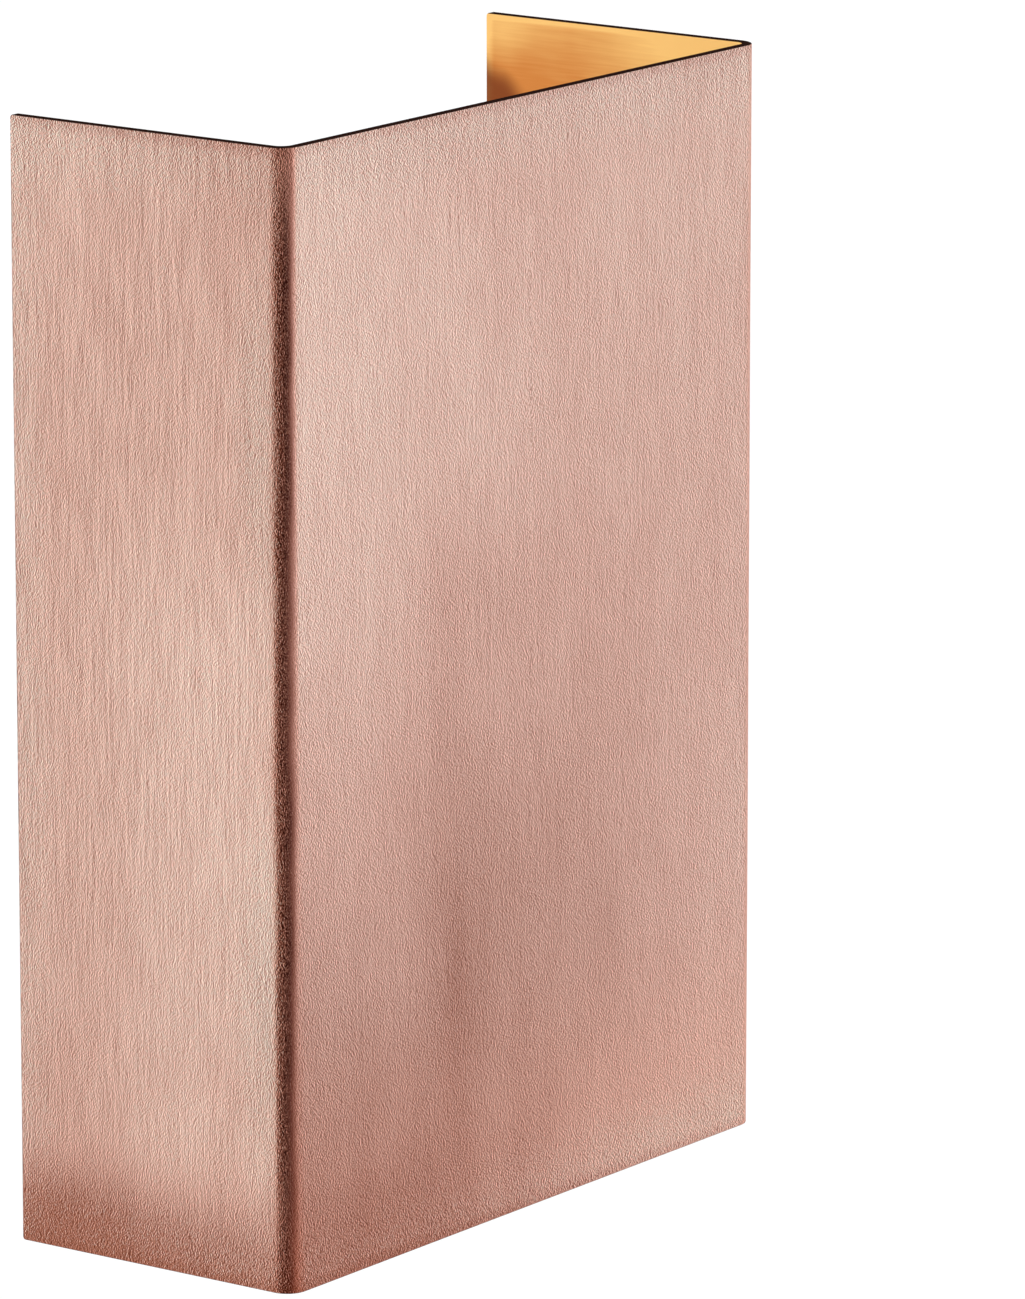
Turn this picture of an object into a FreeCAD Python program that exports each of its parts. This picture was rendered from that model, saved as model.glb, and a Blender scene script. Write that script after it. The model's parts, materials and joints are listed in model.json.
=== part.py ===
"""Outdoor wall light with a folded copper shade that throws light up and down.

+X runs to the right along the front panel, +Y into the wall, +Z up. The origin is the centre of the light
on the wall face, so every piece lies at negative Y. Lengths are in millimetres.
"""
import FreeCAD, Part
import math
import os

from FreeCAD import Vector

os.makedirs("parts", exist_ok=True)

X, Y, Z = Vector(1, 0, 0), Vector(0, 1, 0), Vector(0, 0, 1)
BOTH = (-1, 1)
overrun = 2.0            # how far a cut reaches past the face that it opens
seat = 0.1               # clearance of a piece that sits in a pocket or on a screw
passing = 0.2            # clearance of a hole that a screw passes through
close = 0.001            # places nearer than this count as the same

# Shade: one sheet folded twice
shade_height = 215.0
shade_width = 150.0
shade_depth = 64.0
sheet = 2.0
fold_radius = 4.2        # outside of the fold
rear_corner = 0.6        # rounding of the four rear corners
edge_ease = 0.25         # softened cut edges
wall_gap = 1.0           # the shade's rear edges stay this far off the wall
side_gap = 7.0           # between the shade's side panels and the housing

# Wall gasket: foam pad that housing and wall plate press against the wall
gasket_thickness = 3.0
gasket_inset = 0.5
gasket_slot_room = 0.5   # wider than the plate's slot all round
gasket_cable_room = 1.0  # wider than the grommet's flange all round

# Housing: a casting, open at the back, with a well for each light engine
housing_wall = 3.0
housing_corner = 5.0
housing_front_round = 1.5
rear_land = 4.0          # metal behind the glass recess
front_land = 14.0        # metal in front of it, where the shade is clamped
side_land = 13.5         # metal at each end of it, where the bezel is screwed down
well_depth = 21.0
well_floor = 5.0         # metal between a well and the wiring space
well_corner = 3.0

# Glass, its seal and the bezel over it
glass_thickness = 3.0
glass_clearance = 0.5
glass_ledge = 2.0        # how far the glass rests on the rim of the well
glass_corner = 3.0
seal_thickness = 1.5
bezel_thickness = 2.0
bezel_edge = 4.0         # housing left bare at each end of the bezel
bezel_land = 1.5         # bezel beyond the glass recess, front and rear
bezel_lip = 1.0          # bezel over the well's opening
bezel_corner = 4.0
bezel_round = 0.5
bezel_screw_inset = 5.5
bezel_screw_radius = 1.5
bezel_screw_length = 10.0
small_head_radius = 2.75
small_head_height = 1.8

# Cross cut in the screw heads, as shares of the head
drive_length_share = 0.5
drive_width_share = 0.1
drive_depth_share = 0.6

# Light engine: board with its chips and a reflector cup over each
led_pitch = 19.5
led_end_room = 11.0      # end of the well to the first chip's half of the pitch
led_side = 3.5
led_height = 0.9
led_dome_radius = 1.5
pad_thickness = 0.5
board_thickness = 1.6
board_end_gap = 10.0
board_side_gap = 1.0
board_corner = 1.0
board_screw_radius = 1.5
board_screw_length = 5.0
connector_length = 4.0
connector_width = 6.0
connector_height = 3.6
cup_foot_radius = 3.2
cup_side_room = 2.0
cup_wall = 1.2
reflector_edge_gap = 0.3
reflector_top_gap = 0.2

# Screws that hold the housing to the pillars on the wall plate
pillar_radius = 4.0
pillar_length = 15.5
pillar_inset = 6.0       # from the plate's end to the pillar's axis
boss_radius = 5.5
boss_rib = 4.0
housing_screw_radius = 2.0
housing_head_radius = 3.8
housing_head_height = 2.4
counterbore_radius = 4.6
counterbore_depth = 4.2
screw_bite = 8.0         # thread inside the pillar
o_ring_section = 1.2

# Wall plate
plate_thickness = 1.5
plate_side_gap = 3.0     # plate to the inside of the housing
plate_corner = 4.0
wall_slot_spacing = 70.0
wall_slot_length = 12.0
wall_slot_width = 5.0
spigot_radius = 2.5

# Cable grommet in the wall plate
cable_radius = 4.5       # hole for the supply cable
grommet_neck = 9.0
grommet_flange = 11.0
grommet_rear = 2.0
grommet_front = 2.5
cable_height = 15.0      # hole's centre above the light's centre

# Terminal block on the wall plate
pole_count = 3
pole_pitch = 10.0
block_height = 12.0
block_depth = 14.0
block_end = 6.0
block_round = 1.0
block_drop = 14.0        # block's centre below the light's centre
clamp_radius = 2.6
clamp_bore = 1.6
terminal_screw_radius = 1.5
terminal_screw_spread = 3.0
terminal_well = 2.4
terminal_screw_head = 2.2
terminal_head_height = 1.6
block_screw_radius = 1.2
block_screw_head = 2.2
block_head_height = 1.8

# Earth point on the wall plate
earth_screw_radius = 2.0
earth_head_radius = 3.6
earth_head_height = 2.4
earth_washer_radius = 4.4
earth_washer_thickness = 0.8
tag_radius = 4.4
tag_thickness = 0.8
tag_barrel_radius = 1.9
tag_barrel_length = 5.0
tag_reach = 7.0          # from the screw's axis to the middle of the tag's barrel
earth_offset = 28.0      # earth screw's axis from the light's centre
earth_drop = 12.0

# Driver on the front wall inside the housing
driver_end_room = 7.5    # between an ear and the boss of the housing screw
driver_block_gap = 6.5   # between the driver and the terminal block, for the leads
driver_height = 28.0
driver_depth = 20.0
driver_wall = 1.6
driver_corner = 1.5
driver_lid_thickness = 1.6
ear_length = 7.0
ear_height = 12.0
ear_thickness = 2.5
ear_stand = 4.0
ear_boss_radius = 3.5
ear_screw_radius = 1.5
ear_screw_length = 7.0
ear_boss_floor = 1.5
driver_board_thickness = 1.6
driver_board_stand = 3.0
driver_board_gap = 0.5
transformer_length = 18.0
transformer_width = 15.0
transformer_height = 11.0
capacitor_radius = 4.0
capacitor_height = 10.0
capacitor_pitch = 10.0
part_margin = 4.0

# Leads
lead_radius = 1.2
led_lead_radius = 1.3
lead_bend = 3.0
lead_clear = 0.3         # hole round a lead
lead_reach = 3.0         # how far a lead goes into its clamp
lead_step = 3.0          # spacing between neighbouring leads
lead_drop = 5.0          # first lead's run below the terminal block
lead_side_room = 6.0     # first lead's run beside the driver
lead_floor_gap = 0.8     # lowest lead to the bottom of the wiring space
led_lead_offset = 6.0    # height of each led lead at the driver's end
led_lead_depth = 9.0     # led leads' exit in front of the driver's lid
led_hole_inset = 4.5     # lead hole's axis from the end of the well
seal_neck_radius = 3.0
seal_flange_radius = 3.8
seal_flange_thickness = 1.0

# Rubber buffers between the housing and the shade's side panels
buffer_radius = 5.0
buffer_round = 1.5
buffer_stem_radius = 2.5
buffer_stem_length = 4.0
buffer_height_share = 0.36
buffer_gap = 0.3

# Clamp: bracket in the shade, knurled screw and washer on the housing
bracket_width = 36.0
bracket_thickness = 1.5
bracket_height = 26.0
bracket_bend = 1.5
bracket_gap = 0.2        # between bracket and housing, and between washer and bracket
bracket_rear_gap = 1.0   # bracket's rear end to the bezel
clamp_inset = 6.0        # screw's axis behind the housing's front face
slot_room = 0.3
clamp_screw_radius = 2.0
clamp_screw_length = 13.0
clamp_hole_spare = 1.7
thread_clearance = 0.08
clamp_washer_radius = 5.0
clamp_washer_thickness = 1.0
knurl_radius = 6.0
knurl_height = 8.0
knurl_count = 20
knurl_groove = 0.7
knurl_slot_width = 1.2
knurl_slot_depth = 1.6
stud_radius = 2.0
stud_length = 9.0
stud_spread = 11.0
stud_height_share = 0.62
nut_sides = 6
nut_across_flats = 7.0
nut_height = 3.2
nut_washer_radius = 4.5
nut_washer_thickness = 0.8

# Places that follow from the sizes above
shade_rear = -wall_gap
shade_front = shade_rear - shade_depth
inner_front = shade_front + sheet
inner_half = shade_width / 2 - sheet
plate_rear = -gasket_thickness
plate_front = plate_rear - plate_thickness
block_front = plate_front - block_depth
driver_rear = block_front - driver_block_gap
cavity_front = driver_rear - driver_depth
cavity_top = block_drop + block_height / 2 + lead_drop + lead_step + lead_radius + lead_floor_gap
housing_half = inner_half - side_gap
housing_rear = -gasket_thickness
housing_front = cavity_front - housing_wall
cavity_half = housing_half - housing_wall
well_base = cavity_top + well_floor
housing_top = well_base + well_depth
recess_half = housing_half - side_land
recess_half_y = (housing_rear - rear_land - housing_front - front_land) / 2
window_y = housing_rear - rear_land - recess_half_y
glass_half = recess_half - glass_clearance
glass_half_y = recess_half_y - glass_clearance
well_half = glass_half - glass_ledge
well_half_y = glass_half_y - glass_ledge
glass_base = housing_top - glass_thickness
seal_base = glass_base - seal_thickness
bezel_half = housing_half - bezel_edge
bezel_half_y = recess_half_y + bezel_land
bezel_screw_x = (recess_half + bezel_half) / 2
bezel_screw_y = bezel_half_y - bezel_screw_inset
board_base = well_base + pad_thickness
board_top = board_base + board_thickness
board_half = well_half - board_end_gap
board_half_y = well_half_y - board_side_gap
led_count = int((2 * (well_half - led_end_room) + close) / led_pitch)
led_places = [(n - (led_count - 1) / 2) * led_pitch for n in range(led_count)]
cup_mouth = well_half_y - cup_side_room
led_hole_x = -(well_half - led_hole_inset)
plate_half = cavity_half - plate_side_gap
plate_top = cavity_top - plate_side_gap
pillar_x = plate_half - pillar_inset
pillar_front = plate_front - pillar_length
block_half = (pole_count - 1) * pole_pitch / 2 + block_end
block_top = block_height / 2 - block_drop
block_base = -block_height / 2 - block_drop
pole_places = [(n - (pole_count - 1) / 2) * pole_pitch for n in range(pole_count)]
wire_y = plate_front - block_depth / 2
driver_half = pillar_x - boss_radius - driver_end_room - ear_length
ear_front = cavity_front + ear_stand
ear_screw_x = driver_half + ear_length / 2
bracket_base = housing_top + bracket_gap
bracket_top = bracket_base + bracket_thickness
bracket_rear = window_y - bezel_half_y - bracket_rear_gap
clamp_y = housing_front + clamp_inset
washer_base = bracket_top + bracket_gap
head_base = washer_base + clamp_washer_thickness + seat
stud_z = bracket_base + bracket_height * stud_height_share
ABOUT_WINDOWS = (Vector(0, window_y, 0), X)   # turns the upper light engine over into the lower one
ABOUT_FRONT = (Vector(0, 0, 0), Y)            # turns the upper bracket and clamp screw upside down


def block(x, y, z):
    """A box between two limits along each axis."""
    low = Vector(min(x), min(y), min(z))
    return Part.makeBox(max(x) - min(x), max(y) - min(y), max(z) - min(z), low)


def rod(start, end, radius):
    """A round bar between two points."""
    run = end - start
    return Part.makeCylinder(radius, run.Length, start, run)


def tube(start, end, radius, bore):
    """A round bar with a hole right through it."""
    reach = (end - start).normalize() * overrun
    return rod(start, end, radius).cut(rod(start - reach, end + reach, bore))


def runs_along(edge, axis):
    """True for a straight edge along an axis."""
    run = edge.Vertexes[-1].Point - edge.Vertexes[0].Point
    return edge.Curve.TypeId == "Part::GeomLine" and run.cross(axis).Length < close


def edges_at(shape, axis, place):
    """The edges that lie wholly in the plane across an axis at one place."""
    found = []
    for edge in shape.Edges:
        ends = [v.Point.dot(axis) for v in edge.Vertexes] + [edge.CenterOfMass.dot(axis)]
        if all(abs(end - place) < close for end in ends):
            found.append(edge)
    return found


def rounded(shape, along, radius, across=None, place=None):
    """The shape with its straight edges along an axis rounded, all of them or those in one plane."""
    edges = shape.Edges if across is None else edges_at(shape, across, place)
    return shape.makeFillet(radius, [edge for edge in edges if runs_along(edge, along)])


def obround(x, z, length, width, y):
    """A slot along X with round ends, through the limits y."""
    reach = (length - width) / 2
    body = block((x - reach, x + reach), y, (z - width / 2, z + width / 2))
    ends = [rod(Vector(x + s * reach, min(y), z), Vector(x + s * reach, max(y), z), width / 2) for s in BOTH]
    return body.multiFuse(ends).removeSplitter()


def half_turn(shape, about):
    """A copy turned half round a line."""
    turned = shape.copy()
    turned.rotate(about[0], about[1], 180)
    return turned


def hexagon(x, z, start, end):
    """The outside of a nut: a six-sided bar along Y, with two flats upright."""
    half_side = math.pi / nut_sides
    radius = nut_across_flats / 2 / math.cos(half_side)
    corners = []
    for n in range(nut_sides):
        angle = (2 * n + 1) * half_side
        corners.append(Vector(x + radius * math.cos(angle), start, z + radius * math.sin(angle)))
    return Part.Face(Part.makePolygon(corners + corners[:1])).extrude(Vector(0, end - start, 0))


def route(points, bend):
    """Straight runs through points, with a tangent arc at each corner."""
    edges, start = [], points[0]
    for before, corner, after in zip(points, points[1:], points[2:]):
        into, out = (corner - before).normalize(), (after - corner).normalize()
        half = into.getAngle(out) / 2
        reach = bend * math.tan(half)
        first, last = corner - into * reach, corner + out * reach
        middle = corner + (out - into).normalize() * (bend / math.cos(half) - bend)
        edges.append(Part.LineSegment(start, first).toShape())
        edges.append(Part.Arc(first, middle, last).toShape())
        start = last
    edges.append(Part.LineSegment(start, points[-1]).toShape())
    return Part.Wire(edges)


def lead(points, radius, name):
    """A round wire along its route; prints how its volume compares with section times length."""
    path = route(points, lead_bend)
    section = Part.Wire(Part.makeCircle(radius, points[0], points[1] - points[0]))
    solid = path.makePipeShell([section], True, False)
    share = solid.Volume / (math.pi * radius ** 2 * path.Length)
    print(f"{name}: length {path.Length:.1f} mm, volume share {share:.4f}")
    return solid


def pan_screw(tip, head, radius, head_radius, head_height):
    """A pan head screw from its tip to the underside of its head, with a cross-shaped drive cut in."""
    way = (head - tip).normalize()
    top = head + way * head_height
    crown = rod(head, top, head_radius)
    rim = [edge for edge in crown.Edges if edge.BoundBox.Center.distanceToPoint(top) < close]
    screw = rod(tip, head, radius).fuse(crown.makeFillet(head_height / 2, rim)).removeSplitter()
    for side in (X, way.cross(X)):
        along = side * head_radius * drive_length_share
        across = way.cross(side) * head_radius * drive_width_share
        corners = [top - along - across, top + along - across, top + along + across, top - along + across]
        face = Part.Face(Part.makePolygon(corners + corners[:1]))
        screw = screw.cut(face.extrude(way * -head_height * drive_depth_share))
    return screw


def shade():
    """The copper sheet: a U seen from above, with softened cut edges and rounded rear corners."""
    half, top = shade_width / 2, shade_height / 2
    outer = block((-half, half), (shade_front, shade_rear), (-top, top))
    outer = rounded(outer, Z, fold_radius, Y, shade_front)
    inner = block((-inner_half, inner_half), (inner_front, shade_rear + overrun),
                  (-top - overrun, top + overrun))
    copper = outer.cut(rounded(inner, Z, fold_radius - sheet, Y, inner_front))
    copper = rounded(copper, X, rear_corner, Y, shade_rear)
    rims = edges_at(copper, Z, top) + edges_at(copper, Z, -top)
    ends = [edge for edge in rims if runs_along(edge, X) and edge.Length < 2 * sheet]
    return copper.makeFillet(edge_ease, [edge for edge in rims if not any(edge.isSame(end) for end in ends)])


def housing():
    """The casting: wiring space open at the back, a well and a glass recess at each end, bosses and holes."""
    body = block((-housing_half, housing_half), (housing_front, housing_rear), (-housing_top, housing_top))
    body = rounded(body, Y, housing_corner)
    body = body.makeFillet(housing_front_round, edges_at(body, Y, housing_front))
    cavity = block((-cavity_half, cavity_half), (cavity_front, housing_rear + overrun),
                   (-cavity_top, cavity_top))
    body = body.cut(rounded(cavity, Y, housing_corner - housing_wall))
    body = body.multiFuse([housing_boss(side) for side in BOTH] + [driver_boss(side) for side in BOTH])
    upper = upper_cuts()
    cuts = upper + [half_turn(cut, ABOUT_WINDOWS) for cut in upper]
    cuts += clamp_cuts() + [half_turn(cut, ABOUT_FRONT) for cut in clamp_cuts()]
    for side in BOTH:
        cuts += housing_screw_cuts(side) + buffer_cuts(side) + [driver_screw_cut(side)]
    return body.cut(Part.makeCompound(cuts)).removeSplitter()


def housing_boss(side):
    """The tube inside the front wall that a housing screw passes through, ribbed to the side wall."""
    x = side * pillar_x
    boss = rod(Vector(x, pillar_front, 0), Vector(x, cavity_front - seat, 0), boss_radius)
    rib = block((x, side * (cavity_half + seat)), (pillar_front, cavity_front - seat),
                (-boss_rib / 2, boss_rib / 2))
    return boss.fuse(rib)


def driver_boss(side):
    """The pad inside the front wall that one ear of the driver is screwed to."""
    x = side * ear_screw_x
    return rod(Vector(x, ear_front, 0), Vector(x, cavity_front - seat, 0), ear_boss_radius)


def driver_screw_cut(side):
    """Blind tapped hole in the driver's boss and the front wall."""
    x = side * ear_screw_x
    floor = housing_front + ear_boss_floor
    return rod(Vector(x, floor, 0), Vector(x, ear_front + overrun, 0), ear_screw_radius + seat)


def upper_cuts():
    """Well, glass recess, screw holes and lead hole at the housing's top."""
    well = block((-well_half, well_half), (window_y - well_half_y, window_y + well_half_y),
                 (well_base, housing_top + overrun))
    recess = block((-recess_half, recess_half), (window_y - recess_half_y, window_y + recess_half_y),
                   (seal_base, housing_top + overrun))
    cuts = [rounded(well, Z, well_corner), rounded(recess, Z, glass_corner + glass_clearance)]
    for x, y in bezel_screw_places():
        cuts.append(rod(Vector(x, y, housing_top - bezel_screw_length), Vector(x, y, housing_top + overrun),
                        bezel_screw_radius + seat))
    above = well_base + overrun
    for x in board_screw_places():
        cuts.append(rod(Vector(x, window_y, board_top - board_screw_length), Vector(x, window_y, above),
                        board_screw_radius + seat))
    cuts.append(rod(Vector(led_hole_x, window_y, cavity_top - overrun), Vector(led_hole_x, window_y, above),
                    seal_neck_radius + seat))
    return cuts


def clamp_cuts():
    """Tapped hole for the knurled screw above the housing."""
    tip = head_base - clamp_screw_length
    return [rod(Vector(0, clamp_y, tip - clamp_hole_spare), Vector(0, clamp_y, housing_top + overrun),
                clamp_screw_radius + thread_clearance)]


def housing_screw_cuts(side):
    """Through hole and counterbore for a screw that goes through the front wall and the boss."""
    x = side * pillar_x
    through = rod(Vector(x, housing_front - overrun, 0), Vector(x, pillar_front + overrun, 0),
                  housing_screw_radius + passing)
    bore = rod(Vector(x, housing_front - overrun, 0), Vector(x, housing_front + counterbore_depth, 0),
               counterbore_radius)
    return [through, bore]


def buffer_cuts(side):
    """Holes in the housing's side for the stems of two buffers."""
    inner, outer = side * (housing_half - buffer_stem_length), side * (housing_half + overrun)
    return [rod(Vector(inner, window_y, z), Vector(outer, window_y, z), buffer_stem_radius + seat)
            for z in buffer_heights()]


def bezel_screw_places():
    return [(sx * bezel_screw_x, window_y + sy * bezel_screw_y) for sx in BOTH for sy in BOTH]


def board_screw_places():
    """The middle of the first and the last gap between the chips."""
    gaps = [(a + b) / 2 for a, b in zip(led_places, led_places[1:])]
    return sorted({gaps[0], gaps[-1]})


def buffer_heights():
    return [s * housing_top * 2 * buffer_height_share for s in BOTH]


def thermal_pad():
    return board_blank(well_base, board_base)


def board_blank(base, top):
    """A strip as large as the led board, with the holes of its two screws."""
    strip = block((-board_half, board_half), (window_y - board_half_y, window_y + board_half_y), (base, top))
    strip = rounded(strip, Z, board_corner)
    holes = [rod(Vector(x, window_y, base - overrun), Vector(x, window_y, top + overrun),
                 board_screw_radius + passing) for x in board_screw_places()]
    return strip.cut(Part.makeCompound(holes))


def leds():
    """A square chip with a domed lens at each place on the board."""
    chips = []
    for x in led_places:
        chip = block((x - led_side / 2, x + led_side / 2), (window_y - led_side / 2, window_y + led_side / 2),
                     (board_top, board_top + led_height))
        dome = Part.makeSphere(led_dome_radius, Vector(x, window_y, board_top + led_height))
        dome = dome.common(block((x - led_side, x + led_side), (window_y - led_side, window_y + led_side),
                                 (board_top + led_height / 2, board_top + led_height + led_side)))
        chips.append(chip.fuse(dome).removeSplitter())
    return chips


def board_connector():
    """The socket on the board that the led lead plugs into from the end."""
    x = -board_half
    return block((x, x + connector_length), (window_y - connector_width / 2, window_y + connector_width / 2),
                 (board_top, board_top + connector_height))


def board_screws():
    return [pan_screw(Vector(x, window_y, board_top - board_screw_length), Vector(x, window_y, board_top),
                      board_screw_radius, small_head_radius, small_head_height) for x in board_screw_places()]


def reflector():
    """A thin moulded strip under the glass with a cone round each chip."""
    top = glass_base - reflector_top_gap
    flange_base = top - cup_wall
    half, half_y = well_half - reflector_edge_gap, well_half_y - reflector_edge_gap
    strip = block((-half, half), (window_y - half_y, window_y + half_y), (flange_base, top))
    strip = rounded(strip, Z, well_corner - reflector_edge_gap)
    cones, hollows = [], []
    height = top - board_top
    for x in led_places:
        foot = Vector(x, window_y, board_top)
        cones.append(Part.makeCone(cup_foot_radius + cup_wall, cup_mouth + cup_wall, height, foot, Z))
        slope = (cup_mouth - cup_foot_radius) / height
        hollows.append(Part.makeCone(cup_foot_radius - slope * overrun, cup_mouth + slope * overrun,
                                     height + 2 * overrun, foot - Z * overrun, Z))
    outer = block((-half, half), (window_y - half_y, window_y + half_y), (board_top, top))
    cones = [cone.common(outer) for cone in cones]
    return strip.multiFuse(cones).cut(Part.makeCompound(hollows)).removeSplitter()


def glass_seal():
    """The silicone frame between the rim of the well and the glass."""
    outer = block((-glass_half, glass_half), (window_y - glass_half_y, window_y + glass_half_y),
                  (seal_base, glass_base))
    inner = block((-well_half, well_half), (window_y - well_half_y, window_y + well_half_y),
                  (seal_base - overrun, glass_base + overrun))
    return rounded(outer, Z, glass_corner).cut(rounded(inner, Z, well_corner))


def glass():
    pane = block((-glass_half, glass_half), (window_y - glass_half_y, window_y + glass_half_y),
                 (glass_base, housing_top))
    return rounded(pane, Z, glass_corner)


def bezel():
    """The frame that presses the glass on its seal."""
    frame = block((-bezel_half, bezel_half), (window_y - bezel_half_y, window_y + bezel_half_y),
                  (housing_top, housing_top + bezel_thickness))
    frame = rounded(frame, Z, bezel_corner)
    frame = frame.makeFillet(bezel_round, edges_at(frame, Z, housing_top + bezel_thickness))
    half, half_y = well_half - bezel_lip, well_half_y - bezel_lip
    window = block((-half, half), (window_y - half_y, window_y + half_y),
                   (housing_top - overrun, housing_top + bezel_thickness + overrun))
    holes = [rod(Vector(x, y, housing_top - overrun), Vector(x, y, housing_top + bezel_thickness + overrun),
                 bezel_screw_radius + passing) for x, y in bezel_screw_places()]
    return frame.cut(Part.makeCompound([rounded(window, Z, well_corner)] + holes))


def bezel_screws():
    top = housing_top + bezel_thickness
    return [pan_screw(Vector(x, y, top - bezel_screw_length), Vector(x, y, top), bezel_screw_radius,
                      small_head_radius, small_head_height) for x, y in bezel_screw_places()]


def lead_seal():
    """The rubber bush that seals the led lead where it enters the well."""
    bottom, top = Vector(led_hole_x, window_y, cavity_top), Vector(led_hole_x, window_y, well_base)
    brim = top + Z * seal_flange_thickness
    bush = rod(bottom, top, seal_neck_radius).fuse(rod(top, brim, seal_flange_radius))
    return bush.cut(rod(bottom - Z * overrun, brim + Z * overrun, led_lead_radius + seat)).removeSplitter()


def led_lead(side):
    """The lead from the driver's left end into one well and along to the board's socket."""
    exit_y = driver_rear - led_lead_depth
    plug_z = side * (board_top + connector_height / 2)
    start_z = side * led_lead_offset
    jog_z = side * (led_lead_offset + (window_y - exit_y))
    points = [Vector(-driver_half, exit_y, start_z), Vector(led_hole_x, exit_y, start_z),
              Vector(led_hole_x, window_y, jog_z), Vector(led_hole_x, window_y, plug_z),
              Vector(-board_half, window_y, plug_z)]
    return points


def wall_gasket():
    """The foam pad, open at the slots and round the grommet."""
    half, top = housing_half - gasket_inset, housing_top - gasket_inset
    through = (-gasket_thickness - overrun, overrun)
    pad = rounded(block((-half, half), (-gasket_thickness, 0), (-top, top)), Y, housing_corner)
    cuts = [obround(s * wall_slot_spacing / 2, 0, wall_slot_length + 2 * gasket_slot_room,
                    wall_slot_width + 2 * gasket_slot_room, through) for s in BOTH]
    cuts.append(rod(Vector(0, min(through), cable_height), Vector(0, max(through), cable_height),
                    grommet_flange + gasket_cable_room))
    return pad.cut(Part.makeCompound(cuts))


def wall_plate():
    """The steel plate screwed to the wall, with slots, cable hole, pillar holes and tapped holes."""
    through = (plate_front - overrun, plate_rear + overrun)
    plate = block((-plate_half, plate_half), (plate_front, plate_rear), (-plate_top, plate_top))
    plate = rounded(plate, Y, plate_corner)
    cuts = [obround(s * wall_slot_spacing / 2, 0, wall_slot_length, wall_slot_width, through) for s in BOTH]
    round_holes = [(0, cable_height, grommet_neck)]
    round_holes += [(-earth_offset, -earth_drop, earth_screw_radius + seat)]
    round_holes += [(s * pillar_x, 0, spigot_radius + seat) for s in BOTH]
    round_holes += [(x, -block_drop, block_screw_radius + seat) for x in block_screw_places()]
    cuts += [rod(Vector(x, min(through), z), Vector(x, max(through), z), r) for x, z, r in round_holes]
    return plate.cut(Part.makeCompound(cuts))


def plate_pillars():
    """Threaded pillars riveted to the wall plate."""
    pillars = []
    for x in (s * pillar_x for s in BOTH):
        pillar = rod(Vector(x, pillar_front, 0), Vector(x, plate_front, 0), pillar_radius)
        pillar = pillar.fuse(rod(Vector(x, plate_front, 0), Vector(x, plate_rear, 0), spigot_radius))
        bite = pillar_front + screw_bite + overrun
        pillars.append(pillar.cut(rod(Vector(x, pillar_front - overrun, 0), Vector(x, bite, 0),
                                      housing_screw_radius + seat)).removeSplitter())
    return pillars


def housing_screws():
    """Long screws through the housing's front wall into the pillars."""
    under_head = housing_front + counterbore_depth - o_ring_section
    return [pan_screw(Vector(s * pillar_x, pillar_front + screw_bite, 0), Vector(s * pillar_x, under_head, 0),
                      housing_screw_radius, housing_head_radius, housing_head_height) for s in BOTH]


def screw_seals():
    """An O-ring under each housing screw's head."""
    ring_radius = housing_screw_radius + seat + o_ring_section / 2
    y = housing_front + counterbore_depth - o_ring_section / 2
    return [Part.makeTorus(ring_radius, o_ring_section / 2, Vector(s * pillar_x, y, 0), Y) for s in BOTH]


def cable_grommet():
    """The rubber grommet that the supply cable comes through, gripping the wall plate's hole."""
    def at(y):
        return Vector(0, y, cable_height)
    rear, front = plate_rear + grommet_rear, plate_front - grommet_front
    body = rod(at(plate_rear), at(rear), grommet_flange).fuse(rod(at(front), at(plate_front), grommet_flange))
    body = body.fuse(rod(at(plate_front), at(plate_rear), grommet_neck - seat))
    return body.cut(rod(at(front - overrun), at(rear + overrun), cable_radius)).removeSplitter()


def block_screw_places():
    return [(a + b) / 2 for a, b in zip(pole_places, pole_places[1:])]


def terminal_block():
    """The insulating body: a wire channel for each pole, two screw wells over it, two fixing holes."""
    body = block((-block_half, block_half), (block_front, plate_front), (block_base, block_top))
    body = rounded(body, Y, block_round)
    cuts = []
    for x in pole_places:
        cuts.append(rod(Vector(x, wire_y, block_base - overrun), Vector(x, wire_y, block_top + overrun),
                        clamp_radius + seat))
        for z in terminal_screw_heights():
            cuts.append(rod(Vector(x, block_front - overrun, z), Vector(x, wire_y, z), terminal_well))
    for x in block_screw_places():
        cuts.append(rod(Vector(x, block_front - overrun, -block_drop),
                        Vector(x, plate_front + overrun, -block_drop), block_screw_radius + seat))
    return body.cut(Part.makeCompound(cuts))


def terminal_screw_heights():
    return [-block_drop + s * terminal_screw_spread for s in BOTH]


def terminal_clamps():
    """A brass tube in each pole, tapped for its two screws."""
    clamps = []
    for x in pole_places:
        clamp = tube(Vector(x, wire_y, block_base), Vector(x, wire_y, block_top), clamp_radius, clamp_bore)
        taps = [rod(Vector(x, wire_y - clamp_radius - overrun, z), Vector(x, wire_y, z),
                    terminal_screw_radius + seat) for z in terminal_screw_heights()]
        clamps.append(clamp.cut(Part.makeCompound(taps)))
    return clamps


def terminal_screws():
    """Clamp screws whose tips bear on the wires."""
    tip = wire_y - lead_radius - seat
    head = wire_y - clamp_radius - seat
    return [pan_screw(Vector(x, tip, z), Vector(x, head, z), terminal_screw_radius, terminal_screw_head,
                      terminal_head_height) for x in pole_places for z in terminal_screw_heights()]


def block_screws():
    """The screws that hold the terminal block to the wall plate."""
    return [pan_screw(Vector(x, plate_rear, -block_drop), Vector(x, block_front, -block_drop),
                      block_screw_radius, block_screw_head, block_head_height) for x in block_screw_places()]


def earth_point(y):
    return Vector(-earth_offset, y, -earth_drop)


def earth_screw():
    under_head = plate_front - tag_thickness - earth_washer_thickness
    return pan_screw(earth_point(plate_rear), earth_point(under_head), earth_screw_radius, earth_head_radius,
                     earth_head_height)


def earth_washer():
    front = plate_front - tag_thickness
    return tube(earth_point(front), earth_point(front - earth_washer_thickness), earth_washer_radius,
                earth_screw_radius + seat)


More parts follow.
